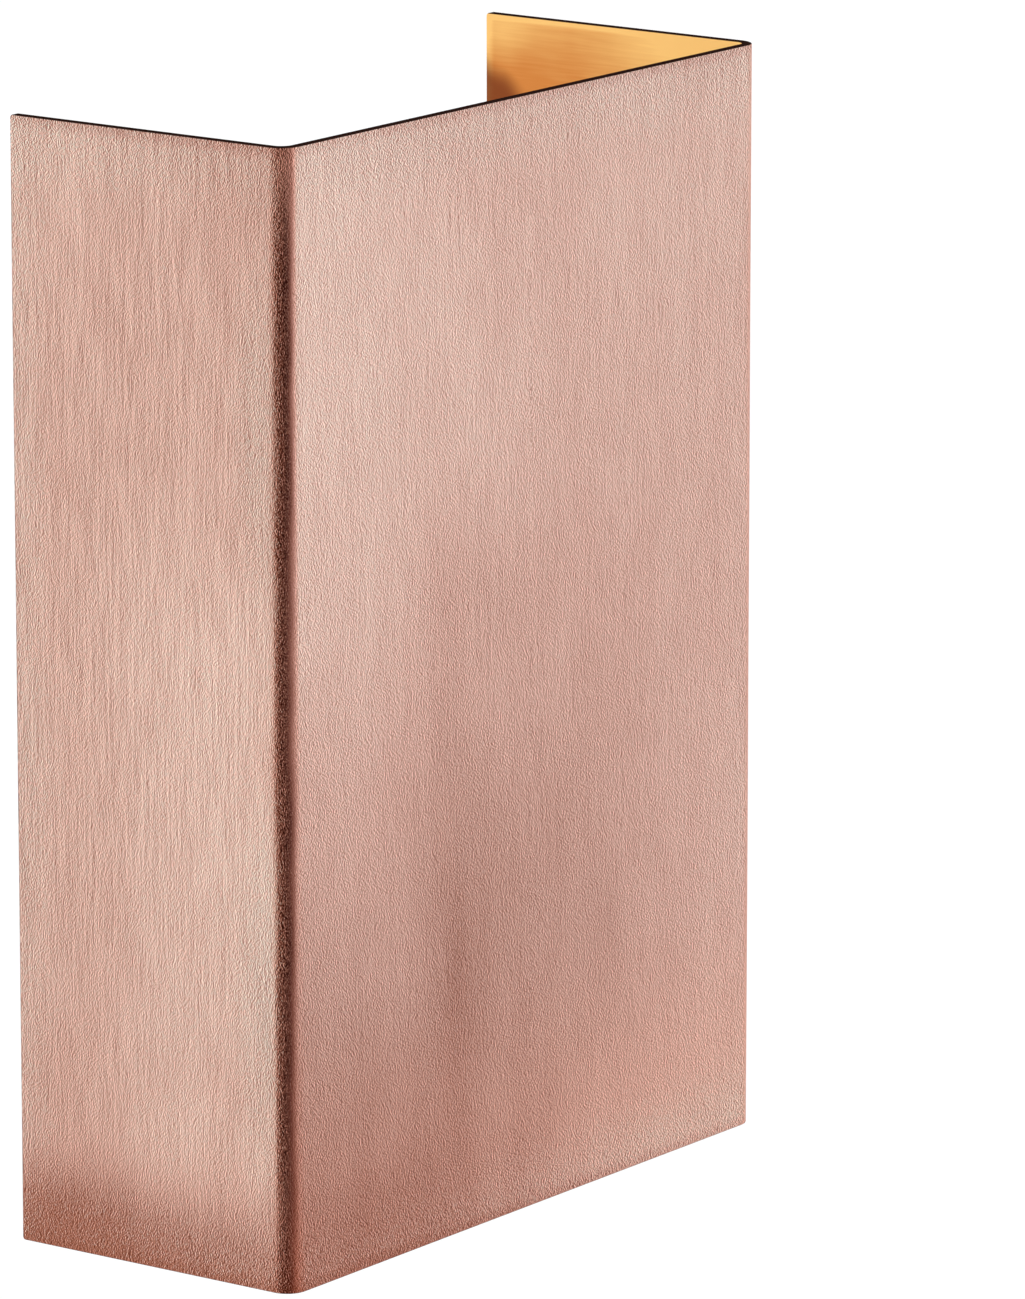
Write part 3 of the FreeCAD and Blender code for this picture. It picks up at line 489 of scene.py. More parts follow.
def build_dust(group, given):
    """Dust that has settled in uneven patches where the surface faces up."""
    upward = ramp(group, aim(group, "DOT_PRODUCT", given["Normal"], (0, 0, 1)), 0.55, 0.95)
    scale = calc(group, "DIVIDE", 1.0, given["Size"])
    patch = add(group, "ShaderNodeTexNoise", Vector=given["Vector"], Scale=scale, Detail=6.0,
                Roughness=0.75).outputs["Fac"]
    return times(group, upward, given["Amount"], ramp(group, patch, 0.35, 0.68))


rings = effect("rings", {"Centre": (0, 0, 0), "Width": 0.2 * mm}, build_rings)
dust = effect("dust", {"Normal": (0, 0, 1), "Size": 5 * mm, "Amount": 0.5}, build_dust)
dust_tone = rgb(150, 142, 130)
print("shared effects:", rings.name, dust.name)

# %% [markdown]
# ## Copper: which panel a point is on
# The shade is one sheet and so one material, but its panels have aged in different ways. The surface direction tells
# them apart: `turn` runs from 0 on a side panel, round the fold, to 1 on the front. Patterns that are alike on the
# left and on the right, and above and below, read places without their sign.


# %% Copper: which panel a point is on
def by_panel(tree, turn, side, front):
    """One value on the side panels and another on the front, going over round the folds."""
    return ramp(tree, turn, 0.3, 0.7, side, front)


copper, tree, shader, place, normal = start("copper", metallic=1.0, Specular_IOR_Level=0.0)
x, y, z = split(tree, place)
nx, ny, nz = split(tree, normal)
turn = calc(tree, "DIVIDE", calc(tree, "ARCTAN2", size_of(tree, ny), size_of(tree, nx)), math.pi / 2)
on_front = by_panel(tree, turn, 0.0, 1.0)
from_middle = size_of(tree, z)
mirrored_place = join(tree, size_of(tree, x), y, from_middle)
print(f"panels told apart, {len(tree.nodes)} nodes so far")

# %% [markdown]
# ## Copper outside: age and painted shade
# The sheet is raw copper that has gone matt. A fresh spot is pale pink, an aged one brown, so the whole outside is
# one mix of two tones, and this cell says where a point lies between them. That share holds age and painted light
# and shade together. The side panels are painted lighter in the middle and darker at the foot and low by the wall.
# The front panel is painted darker from its top towards its lower left corner and at its foot, with a few smears.

# %% Copper outside: age and painted shade
even_age = 0.37

foot = ramp(tree, z, -75 * mm, -108 * mm)
foot = times(tree, foot, foot)
downwards = ramp(tree, z, 55 * mm, -85 * mm)
middle = spot(tree, place, (0, -48, -14), (400, 42, 98))
top_corner = spot(tree, place, (0, -58, 108), (400, 28, 34))
side_foot = times(tree, foot, ramp(tree, y, -60 * mm, -5 * mm, 0.75, 1.05))
rear_low = times(tree, downwards, ramp(tree, y, -60 * mm, 0, 0.0, 0.1))
# Side panels: age, with a painted highlight in the middle and painted shade at the foot and low by the wall.
side_age_and_shade = total(tree, even_age, times(tree, middle, -0.15), times(tree, top_corner, 0.24), side_foot, rear_low)

crosswise = ramp(tree, x, -85 * mm, 10 * mm, 0.05, 0.27)
toward_left = calc(tree, "MULTIPLY_ADD", x, -4.8, 0.38)
front_foot = times(tree, foot, ramp(tree, x, 50 * mm, -60 * mm, 0.0, 0.34))
front_top = times(tree, ramp(tree, z, 90 * mm, 106 * mm), ramp(tree, x, 10 * mm, -70 * mm, 0.03, 0.17))
smear = times(tree, spot(tree, place, (-24, -65, -48), (18, 40, 78)), 0.2)
rubbed = times(tree, spot(tree, place, (25, -65, -28), (85, 40, 80)), 0.13)
upper_smear = times(tree, spot(tree, place, (-20, -65, 16), (40, 40, 30)), 0.16)
# Front panel: age, with painted shade that grows downwards and towards the lower left corner.
front_age_and_shade = total(tree, crosswise, times(tree, downwards, toward_left), front_foot, front_top, smear, rubbed,
                  upper_smear)
age_and_shade = by_panel(tree, turn, side_age_and_shade, front_age_and_shade)
print(f"age of both panels, {len(tree.nodes)} nodes so far")

# %% [markdown]
# ## Copper outside: grain and brushing
# Fine grain and upright brushing cover the whole sheet, and slower streaks and clouds drift over it. A bent sheet was
# flat when it was brushed, so grain and brushing read coordinates that are unrolled: they count on round the folds
# from panel to panel. On a flat sheet the third coordinate never changes, and noise is strongest halfway between its
# lattice planes, so that is where it is read. By the rims, the wall and the folds, grain also frays the zones of age
# and painted shade.

# %% Copper outside: grain and brushing
front_stretch = 0.8
grain_width = 0.17 * mm
grain_slice = 2.5 * grain_width
brush_length = 10 * mm

right_half = calc(tree, "GREATER_THAN", x, 0.0)
round_sheet = total(tree, times(tree, x, front_stretch),
                    times(tree, y, calc(tree, "MULTIPLY_ADD", right_half, 2.0, -1.0)))
unrolled = join(tree, round_sheet, grain_slice, z)
grain = use(tree, relief, unrolled, Width=grain_width, Length=0.25 * mm)
brushed = use(tree, streaks, unrolled, Width=grain_width, Length=brush_length, Detail=0.0)
drawn = use(tree, streaks, place, Width=8 * mm, Length=45 * mm)
slow = use(tree, clouds, place, Size=50 * mm, Detail=2.0)
off_grain, off_brushed, off_drawn, off_slow = [calc(tree, "SUBTRACT", pattern, 0.5)
                                               for pattern in (grain, brushed, drawn, slow)]

near_rim = ramp(tree, from_middle, 90 * mm, 107 * mm)
near_wall = ramp(tree, y, -12 * mm, -1 * mm)
near_fold = times(tree, ramp(tree, turn, 0.4, 0.1), spot(tree, mirrored_place, (75, -60, 55), (400, 10, 50)))
at_rim = times(tree, ramp(tree, from_middle, 104.5 * mm, 107.3 * mm), 0.22)
fleck = times(tree, off_grain, total(tree, 0.15, times(tree, age_and_shade, 0.9), near_rim, times(tree, near_wall, 0.6),
                                     times(tree, near_fold, 0.9)))
age_and_shade = total(tree, age_and_shade, times(tree, off_drawn, 0.06), times(tree, off_slow, 0.1), times(tree, near_fold, 0.08),
            at_rim, fleck)
bending = times(tree, turn, calc(tree, "SUBTRACT", 1.0, turn), 4.0)
print(f"grain {grain_width / mm:.2f} mm wide, streaks {brush_length / mm:.0f} mm long")

# %% [markdown]
# ## Copper outside: colour
# The share of age and painted shade mixes the two tones, and the grain then paints each grain's one side lighter and
# its other side darker, as side light would. Light grains look paler and dark ones browner, so the two factors differ
# from channel to channel. In the folds and towards the foot the grain is coarser, so it counts for more there. The
# side panels face brighter surroundings than the front, which a faint painted light tint stands for, and the lower
# end is a little redder, which a second faint tint stands for.

# %% Copper outside: colour
fresh_and_lit_pink = rgb(232, 193.5, 180.5)
aged_and_shaded_brown = rgb(150, 95, 77)
grain_light = (1.56, 1.68, 1.73, 1.0)
fold_grain_light = (1.48, 1.46, 1.46, 1.0)
grain_dark = (0.44, 0.28, 0.22, 1.0)
painted_side_light = (1.085, 1.085, 1.06, 1.0)
low_tint = (1.0, 0.91, 0.87, 1.0)
no_tint = (1, 1, 1, 1)

coarse = total(tree, 1.0, times(tree, bending, 1.5), times(tree, foot, 1.0), times(tree, downwards, 0.35),
               times(tree, near_fold, 0.9))
grain_side = total(tree, 0.5, times(tree, off_grain, coarse, by_panel(tree, turn, 2.0, 2.8)),
                   times(tree, off_brushed, by_panel(tree, turn, 0.32, 0.2)))
lit_grain = blend(tree, bending, grain_light, fold_grain_light)
outer = blend(tree, 1.0, blend(tree, age_and_shade, fresh_and_lit_pink, aged_and_shaded_brown), blend(tree, grain_side, lit_grain, grain_dark),
              "MULTIPLY")
outer = blend(tree, 1.0, outer, blend(tree, on_front, painted_side_light, no_tint), "MULTIPLY")
low_share = times(tree, ramp(tree, z, -50 * mm, -100 * mm), by_panel(tree, turn, 0.25, 1.0))
outer = blend(tree, 1.0, outer, blend(tree, low_share, no_tint, low_tint), "MULTIPLY")
print(f"colour of the outside, {len(tree.nodes)} nodes so far")

# %% [markdown]
# ## Copper at the folds
# A painted reflection makes a dark line along each fold, where the fold mirrors the dark gap in the surroundings:
# brown on the side panel's flank and violet towards the front, with a painted highlight line beside it on the front.
# A colour ramp over `turn` paints the line. Adding a little grain to the turn frays its borders, and a little more of
# it towards the foot leans the line over to the side panel. Grain also breaks up its strength, and the line fades
# towards the ends of the sheet. At the right fold it shows only on the side panel's half.

# %% Copper at the folds
fold_reflection_tones = ((0.0, (1, 1, 1)), (0.08, (0.95, 0.86, 0.82)), (0.15, (0.62, 0.43, 0.36)), (0.2, (0.34, 0.17, 0.12)),
              (0.28, (0.2, 0.08, 0.05)), (0.36, (0.11, 0.035, 0.02)), (0.43, (0.03, 0.006, 0.003)),
              (0.5, (0.02, 0.004, 0.003)), (0.57, (0.05, 0.015, 0.014)), (0.63, (0.14, 0.065, 0.06)),
              (0.69, (0.34, 0.22, 0.215)), (0.75, (0.8, 0.7, 0.68)), (0.83, (1.04, 1.05, 1.06)), (1.0, (1, 1, 1)))
fold_reflection_warmth = (1.1, 0.8, 0.7, 1.0)

lean = ramp(tree, z, 110 * mm, -105 * mm, 0.01, 0.12)
fray = times(tree, off_grain, ramp(tree, turn, 0.35, 0.6, 0.85, 0.4))
wander = times(tree, bending, total(tree, fray, times(tree, off_drawn, 0.16), lean))
# The ramp paints the fold's dark reflection and, beside it, a highlight line.
fold_reflection = add(tree, "ShaderNodeValToRGB", Fac=total(tree, turn, wander))
fold_reflection.color_ramp.elements.remove(fold_reflection.color_ramp.elements[1])
for n, (at, tone) in enumerate(fold_reflection_tones):
    stop = fold_reflection.color_ramp.elements[0] if n == 0 else fold_reflection.color_ramp.elements.new(at)
    stop.position, stop.color = at, (*tone, 1.0)
strength = total(tree, 1.0, times(tree, ramp(tree, z, 86 * mm, 108 * mm), -0.36),
                 times(tree, ramp(tree, z, -75 * mm, -106 * mm), -0.2), times(tree, off_grain, 0.8))
strength = times(tree, strength, ramp(tree, times(tree, right_half, turn), 0.4, 0.8, 1.0, 0.1))
warm = blend(tree, bending, no_tint, fold_reflection_warmth)
outer = blend(tree, 1.0, outer, blend(tree, strength, warm, fold_reflection.outputs["Color"]), "MULTIPLY")
print("fold line of", len(fold_reflection_tones), "tones")

# %% [markdown]
# ## Copper inside
# Weather never reached the inside, so it is smooth, warm and golden. Painted highlights make it paler towards the
# front, by the rear edge, in the top corners and at the rims, where the edge break catches light, and painted shade
# turns it brown low down by the wall. A point lies inside where the surface looks towards the middle of the light.

# %% Copper inside
gold_deep = rgb(216, 136, 68)
gold_pale = rgb(255, 202, 122)
gold_in_shade = rgb(128, 62, 34)

outward = aim(tree, "DOT_PRODUCT", normal, aim(tree, "ADD", place, (0, 30 * mm, 0)))
inside = ramp(tree, outward, 5 * mm, -5 * mm)
lit_front = times(tree, ramp(tree, y, -18 * mm, -60 * mm), 0.85)
lit_rim = total(tree, times(tree, ramp(tree, from_middle, 96 * mm, 107 * mm), 0.45),
                times(tree, ramp(tree, from_middle, 105.8 * mm, 107.2 * mm), 0.8))
lit_rear = times(tree, ramp(tree, y, -3.2 * mm, -1.4 * mm), 0.5)
inner_tone = use(tree, clouds, place, Size=18 * mm, Detail=2.0)
inner_clouds = times(tree, calc(tree, "SUBTRACT", inner_tone, 0.5), 0.25)
rolled = use(tree, streaks, laid(tree, place, "ZXY"), Width=0.5 * mm)
inner_lines = times(tree, calc(tree, "SUBTRACT", rolled, 0.5), 0.14)
lit_corner = times(tree, spot(tree, mirrored_place, (73, -5, 104), (30, 10, 7)), 0.3)
inner = blend(tree, total(tree, lit_front, lit_rim, lit_rear, lit_corner, inner_clouds, inner_lines), gold_deep,
              gold_pale)
# Painted shade: the inside turns brown low down by the wall.
wall_shade_width = times(tree, ramp(tree, from_middle, 108 * mm, 82 * mm, 0.0, 13 * mm),
                    ramp(tree, from_middle, 25 * mm, 75 * mm, 0.3, 1.0))
wall_shade_edge = times(tree, calc(tree, "SUBTRACT", use(tree, clouds, place, Size=16 * mm, Detail=1.0), 0.5), 5 * mm)
wall_shade = ramp(tree, total(tree, y, wall_shade_width, wall_shade_edge), -1 * mm, 5 * mm, 0.0, 0.9)
inner = blend(tree, wall_shade, inner, gold_in_shade)
skin = blend(tree, inside, outer, inner)
# The brown by the wall is painted shade.
print("golden inside, stained by the wall")

# %% [markdown]
# ## Nicks and cut edges
# A few small nicks sit on the left rear edge. The cut edges get painted shade: nearly black and dull, where the
# surface points straight up or down, or straight at the wall. A dull black edge isn't metal to the eye, so the metal
# share drops to nothing, and the shader has no plain gloss that would turn it grey. The grain that colours the
# outside also feeds its bump.

# %% Nicks and cut edges
nick_brown = rgb(62, 36, 30)
edge_shade_black = rgb(16, 10, 10)
edge_shade_brown = rgb(52, 32, 26)
nick_heights_and_reaches = ((87, 1.8), (52, 0.9), (-80, 1.5), (-83, 0.8), (21, 0.7))

nicks = total(tree, *[spot(tree, place, (-75, 0, height), (4, 1.6, reach))
                      for height, reach in nick_heights_and_reaches])
skin = blend(tree, times(tree, nicks, 1.6), skin, nick_brown)

# The cut edges are painted nearly black as shade.
rim = ramp(tree, size_of(tree, nz), 0.4, 0.65)
rear = times(tree, ramp(tree, ny, 0.8, 0.95), ramp(tree, y, -2.4 * mm, -1.6 * mm))
cut = calc(tree, "MAXIMUM", rim, rear)
skin = blend(tree, cut, skin, blend(tree, grain, edge_shade_black, edge_shade_brown))
dullness = ramp(tree, inside, 0.0, 1.0, ramp(tree, grain, 0.2, 0.8, 0.36, 0.5), 0.34)
finish(tree, shader, colour=skin, roughness=calc(tree, "MAXIMUM", dullness, times(tree, cut, 0.9)),
       metallic=calc(tree, "SUBTRACT", 1.0, cut),
       height=times(tree, grain, ramp(tree, inside, 0.0, 1.0, 1.0, 0.1)), depth=0.035 * mm)
dress(copper, "shade")

# %% [markdown]
# ## Pushing and slicing
# The CAD shade is perfectly flat. A bent sheet never is: its panels swell by a tenth of a millimetre here and there,
# which is what makes a real reflection swim. So the shade is made again, from two steps. An upright edge that is
# pushed along a path leaves a panel behind each push, as a sheet is folded round a corner. Planes that slice the
# panels into cells give them the corners that the swelling needs.

# %% Pushing and slicing
cell = 5.0 * mm
same_point = 0.001 * mm


def pushed_outline(work, bottom, top, steps):
    """Push an upright edge along a path and return the upright edges that it leaves."""
    edge = work.edges.new([work.verts.new(bottom), work.verts.new(top)])
    uprights = [edge]
    for step in steps:
        grown = bmesh.ops.extrude_edge_only(work, edges=[edge])["geom"]
        ends = [part for part in grown if isinstance(part, bmesh.types.BMVert)]
        bmesh.ops.translate(work, verts=ends, vec=step)
        edge = next(part for part in grown if isinstance(part, bmesh.types.BMEdge) and set(part.verts) == set(ends))
        uprights.append(edge)
    return uprights


def cut_into_cells(work, low, high):
    """Slice the whole mesh by planes across each axis."""
    for axis in range(3):
        count = round((high[axis] - low[axis]) / cell)
        for n in range(1, count):
            across = Vector((axis == 0, axis == 1, axis == 2))
            at = across * (low[axis] + (high[axis] - low[axis]) * n / count)
            bmesh.ops.bisect_plane(work, geom=work.verts[:] + work.edges[:] + work.faces[:], plane_co=at,
                                   plane_no=across, dist=10 * same_point)


print(f"helpers: pushed_outline, cut_into_cells of {cell / mm:.0f} mm")

# %% [markdown]
# ## The folded sheet
# One upright edge is pushed along the U. The rear corners and the two folds are bevelled round, the panels are cut
# into cells, and slow noise presses each cell's corners in. It only presses, so the sheet never grows past its true
# size. Two modifiers then give the sheet its thickness and break its cut edges.

# %% The folded sheet
sheet_thickness = 2.0 * mm
fold_radius, fold_steps = 4.2 * mm, 16
rear_corner, rear_steps = 0.6 * mm, 4
edge_ease = 0.25 * mm
swell = 0.12 * mm
swell_size = 45 * mm

low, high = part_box("shade")
work = bmesh.new()
run, span = high.y - low.y, high.x - low.x
uprights = pushed_outline(work, (low.x, high.y, low.z), (low.x, high.y, high.z),
                          ((0, -run, 0), (span, 0, 0), (0, run, 0)))
rear_ends = list(uprights[0].verts) + list(uprights[-1].verts)
bmesh.ops.bevel(work, geom=rear_ends, offset=rear_corner, segments=rear_steps, profile=0.5, affect="VERTICES",
                material=-1)
folds = [edge for edge in work.edges if len(edge.link_faces) == 2]
bmesh.ops.bevel(work, geom=folds, offset=fold_radius, segments=fold_steps, profile=0.5, affect="EDGES", material=-1)
cut_into_cells(work, low, high)
bmesh.ops.recalc_face_normals(work, faces=work.faces)
if sum(face.normal.dot(face.calc_center_median() + Vector((0, 30 * mm, 0))) for face in work.faces) < 0:
    bmesh.ops.reverse_faces(work, faces=work.faces)
for vert in work.verts:
    press = (noise.noise(vert.co / swell_size) + 1) / 2 * swell
    vert.co -= vert.normal * press
for face in work.faces:
    face.smooth = True
sheet_mesh = bpy.data.meshes.new("copper_sheet")
work.to_mesh(sheet_mesh)
work.free()

sheet = new_object("folded_sheet", sheet_mesh)
thicken = sheet.modifiers.new("thickness", "SOLIDIFY")
thicken.thickness, thicken.offset, thicken.use_even_offset = sheet_thickness, -1, True
ease = sheet.modifiers.new("cut edges", "BEVEL")
ease.width, ease.segments, ease.limit_method, ease.angle_limit = edge_ease, 2, "ANGLE", math.radians(50)
ease.harden_normals = True
sheet.data.materials.append(copper)
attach(sheet, "shade")
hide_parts("shade")
print(f"sheet of {len(sheet_mesh.polygons)} cells")

# %% [markdown]
# ## Threaded studs
# Four copper studs are welded inside the front panel, and nuts hold the brackets on them. Their threads show from
# above. A thread is a helix, but at this size nobody can tell it from a row of grooves, and grooves are simple: a
# zigzag profile turned once round the stud's axis.

# %% Threaded studs
stud_radius = 2.0 * mm
thread_depth = 0.4 * mm
thread_pitch = 0.7 * mm
tip_ease = 0.6 * mm
stud_steps = 24
stud_low, stud_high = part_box("shade_studs")
stud_length = stud_high.y - stud_low.y
stud_places = [(side * (stud_high.x - stud_radius), end * (stud_high.z - stud_radius))
               for side in (-1, 1) for end in (-1, 1)]


def stud_profile():
    """Distance from the axis and place along it, from the weld to the rounded tip."""
    corners = [(0, 0), (stud_radius, 0), (stud_radius, thread_pitch)]
    turns = int((stud_length - 2 * thread_pitch) / thread_pitch)
    for n in range(turns):
        base = thread_pitch * (n + 1)
        corners += [(stud_radius - thread_depth, base + thread_pitch * 0.5), (stud_radius, base + thread_pitch * 0.9),
                    (stud_radius, base + thread_pitch)]
    return corners + [(stud_radius - tip_ease, stud_length), (0, stud_length)]


work = bmesh.new()
axis = Vector((0, 1, 0))
for stud_x, stud_z in stud_places:
    foot_point = Vector((stud_x, stud_low.y, stud_z))
    verts = [work.verts.new(foot_point + Vector((r, along, 0))) for r, along in stud_profile()]
    edges = [work.edges.new(pair) for pair in zip(verts, verts[1:])]
    bmesh.ops.spin(work, geom=verts + edges, cent=foot_point, axis=axis, angle=2 * math.pi, steps=stud_steps,
                   use_merge=True)
bmesh.ops.remove_doubles(work, verts=work.verts, dist=same_point)
bmesh.ops.recalc_face_normals(work, faces=work.faces)
stud_mesh = bpy.data.meshes.new("threaded_studs")
work.to_mesh(stud_mesh)
work.free()
studs = new_object("threaded_studs", stud_mesh)
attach(studs, "shade")
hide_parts("shade_studs")
print(f"{len(stud_places)} studs, {len(stud_mesh.polygons)} faces")

# %% [markdown]
# ## Copper of the studs
# The studs are bright copper, and each has a sooty ring round its foot, where the weld was made. The four places are
# alike but for their signs, so one spot on places without their sign serves them all.

# %% Copper of the studs
weld_copper, tree, shader, place, normal = start("weld_copper", metallic=1.0)
x, y, z = split(tree, place)
soot = spot(tree, join(tree, size_of(tree, x), y, size_of(tree, z)), (11, -63, 72.3), (5, 4, 5))
tone = use(tree, clouds, place, Size=2 * mm)
colour = blend(tree, tone, rgb(226, 150, 96), rgb(190, 112, 66))
finish(tree, shader, colour=blend(tree, soot, colour, rgb(96, 60, 44)), roughness=ramp(tree, tone, 0, 1, 0.25, 0.45))
studs.data.materials.append(weld_copper)
dress(weld_copper, "shade_studs")

# %% [markdown]
# ## Chamfered nuts
# A real nut is a hexagon whose corners are turned off by a cone, which leaves a curved line on each flat. Turning a
# collar with conical ends, then pressing its skin in to the hexagon wherever it sticks out, gives just that shape.

# %% Chamfered nuts
nut_low, nut_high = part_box("bracket_nuts")
nut_height = nut_high.y - nut_low.y
nut_flat = nut_high.x - stud_places[-1][0]
corner_angle, chamfer_angle = 30, 30
nut_corner = nut_flat / math.cos(math.radians(corner_angle))
nut_face = 0.96 * nut_flat
nut_taper = (nut_corner - nut_face) * math.tan(math.radians(chamfer_angle))
nut_bore = stud_radius + 0.05 * mm
nut_lead_in = 0.35 * mm
nut_steps = 48
collar = ((nut_bore, 0), (nut_face, 0), (nut_corner, nut_taper), (nut_corner, nut_height - nut_taper),
          (nut_face, nut_height), (nut_bore + nut_lead_in, nut_height), (nut_bore, nut_height - nut_lead_in))

work = bmesh.new()
for stud_x, stud_z in stud_places:
    centre = Vector((stud_x, nut_low.y, stud_z))
    verts = [work.verts.new(centre + Vector((r, along, 0))) for r, along in collar]
    edges = [work.edges.new(pair) for pair in zip(verts, verts[1:] + verts[:1])]
    bmesh.ops.spin(work, geom=verts + edges, cent=centre, axis=axis, angle=2 * math.pi, steps=nut_steps,
                   use_merge=True)
bmesh.ops.remove_doubles(work, verts=work.verts, dist=same_point)
for vert in work.verts:
    nearest = min(stud_places, key=lambda at: (vert.co.x - at[0]) ** 2 + (vert.co.z - at[1]) ** 2)
    out_x, out_z = vert.co.x - nearest[0], vert.co.z - nearest[1]
    bearing = (math.degrees(math.atan2(out_z, out_x)) + corner_angle) % (2 * corner_angle) - corner_angle
    press = min(1.0, nut_flat / math.cos(math.radians(bearing)) / math.hypot(out_x, out_z))
    vert.co.x, vert.co.z = nearest[0] + out_x * press, nearest[1] + out_z * press
bmesh.ops.recalc_face_normals(work, faces=work.faces)
nut_mesh = bpy.data.meshes.new("chamfered_nuts")
work.to_mesh(nut_mesh)
work.free()
nuts = new_object("chamfered_nuts", nut_mesh)
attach(nuts, "shade")
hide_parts("bracket_nuts")
print(f"{len(stud_places)} nuts, {2 * nut_flat / mm:.1f} mm across flats, {len(nut_mesh.polygons)} faces")

# %% [markdown]
# ## Powder coat
# The housing and the bezels are cast aluminium under a fine black powder coat. Baked powder never lies quite flat:
# it has a soft peel, a touch of sparkle, and paler, duller edges where it is rubbed. Out of doors it also collects
# dust, which lies only on what faces up.

# %% Powder coat
housing_side, housing_end, housing_front = 66 * mm, 56 * mm, -48 * mm

powder, tree, shader, place, normal = start("black_powder")
x, y, z = split(tree, place)
peel = use(tree, clouds, place, Size=0.9 * mm, Detail=1.0)
sparkle = use(tree, speckle, place, Size=0.28 * mm, Cover=0.35)
fade = use(tree, clouds, place, Size=26 * mm)
near_side = ramp(tree, size_of(tree, x), housing_side - 1.4 * mm, housing_side)
near_end = ramp(tree, size_of(tree, z), housing_end - 0.8 * mm, housing_end)
near_front = ramp(tree, y, housing_front + 0.8 * mm, housing_front)
rubbed = calc(tree, "MAXIMUM", times(tree, near_front, near_end),
              calc(tree, "MAXIMUM", times(tree, near_side, near_end), times(tree, near_side, near_front)))
rubbed = times(tree, rubbed, use(tree, speckle, place, Size=0.8 * mm, Cover=0.5))
lying = use(tree, dust, place, Normal=normal, Size=3 * mm, Amount=0.09)
coat = blend(tree, fade, rgb(26, 26, 28), rgb(36, 36, 38))
coat = blend(tree, times(tree, sparkle, 0.5), coat, rgb(74, 74, 78))
coat = blend(tree, times(tree, rubbed, 0.5), coat, rgb(112, 112, 114))
coat = blend(tree, lying, coat, dust_tone)
finish(tree, shader, colour=coat,
       roughness=total(tree, ramp(tree, peel, 0, 1, 0.42, 0.52), times(tree, lying, 0.5)),
       height=total(tree, peel, times(tree, sparkle, 0.4)), depth=0.04 * mm)
dress(powder, "housing", "upper_bezel", "lower_bezel")

# %% [markdown]
# ## Brushed steel
# The brackets are folded from brushed stainless sheet, so their streaks run across the light. Fingers have dulled
# them in soft patches, and dust lies on their upper side.

# %% Brushed steel
bracket_steel, tree, shader, place, normal = start("brushed_stainless", metallic=1.0)
hairlines = use(tree, streaks, laid(tree, place, "YZX"), Width=0.14 * mm, Length=11 * mm)
handled = use(tree, clouds, place, Size=9 * mm)
lying = use(tree, dust, place, Normal=normal, Size=4 * mm, Amount=0.35)
steel = blend(tree, hairlines, rgb(164, 163, 160), rgb(202, 201, 197))
steel = blend(tree, times(tree, handled, 0.3), steel, rgb(150, 142, 132))
finish(tree, shader, colour=blend(tree, lying, steel, dust_tone), height=hairlines, depth=0.005 * mm,
       roughness=total(tree, ramp(tree, hairlines, 0, 1, 0.22, 0.36), times(tree, handled, 0.08),
                       times(tree, lying, 0.5)))
dress(bracket_steel, "upper_bracket", "lower_bracket")

# %% [markdown]
# ## Turned steel
# Screws, nuts and washers are turned on a lathe, which leaves rings on what faces along the axis and fine lines down
# the sides. A row of equal screws can share one material: their places are symmetrical, so the distance to the
# nearest axis comes from coordinates without their signs. The drive recess of a screw and the grooves of a knurl
# are darker.


# %% Turned steel
def from_axis(tree, value, middle, spacing):
    """How far a coordinate lies from the nearer of two axes, one to each side of the middle, in millimetres."""
    return calc(tree, "SUBTRACT", size_of(tree, calc(tree, "SUBTRACT", value, middle * mm)), spacing * mm)


def turned_steel(name, order, first, second, recess_radius, recess_height, *dressed, knurl=0.0, thread=0.0):
    """Steel turned round a row of axes; order puts the coordinate along the axis last. The drive recess and the
    grooves of a knurl are made darker, and a shank gets its thread; a radius of nought leaves them out."""
    material, tree, shader, place, normal = start(name, metallic=1.0)
    a, b, along = split(tree, laid(tree, place, order))
    local = join(tree, from_axis(tree, a, *first), from_axis(tree, b, *second), along)
    facing_out = ramp(tree, size_of(tree, split(tree, laid(tree, normal, order))[2]), 0.5, 0.9)
    marks = ramp(tree, facing_out, 0, 1, use(tree, streaks, local, Width=0.12 * mm, Length=2 * mm),
                 use(tree, rings, local, Width=0.11 * mm))
    radius = aim(tree, "LENGTH", aim(tree, "MULTIPLY", local, (1, 1, 0)))
    # Darker in the drive recess and in the grooves of a knurl.
    recess_darkening = times(tree, ramp(tree, radius, recess_radius * mm, (recess_radius - 0.15) * mm),
                   ramp(tree, size_of(tree, along), recess_height * mm, (recess_height - 0.3) * mm))
    grooves = band(tree, radius, (knurl - 0.8) * mm, (knurl - 0.4) * mm, 0.3 * mm)
    recess_darkening = total(tree, recess_darkening, times(tree, grooves, ramp(tree, facing_out, 0.6, 0.1), 0.8 if knurl else 0.0))
    ridge = calc(tree, "DIVIDE", calc(tree, "PINGPONG", along, thread_pitch / 2), thread_pitch / 2)
    ridge = times(tree, ridge, ramp(tree, radius, (thread + 0.3) * mm, (thread + 0.1) * mm), 80.0 if thread else 0.0)
    lying = use(tree, dust, place, Normal=normal, Size=3 * mm, Amount=0.12)
    metal = blend(tree, marks, rgb(168, 167, 164), rgb(214, 212, 207))
    metal = blend(tree, times(tree, recess_darkening, 0.85), metal, rgb(44, 40, 36))
    finish(tree, shader, colour=blend(tree, lying, metal, dust_tone), height=total(tree, marks, ridge),
           depth=0.003 * mm,
           roughness=total(tree, ramp(tree, marks, 0.2, 0.8, 0.2, 0.34), times(tree, recess_darkening, 0.5)))
    dress(material, *dressed)
    return material


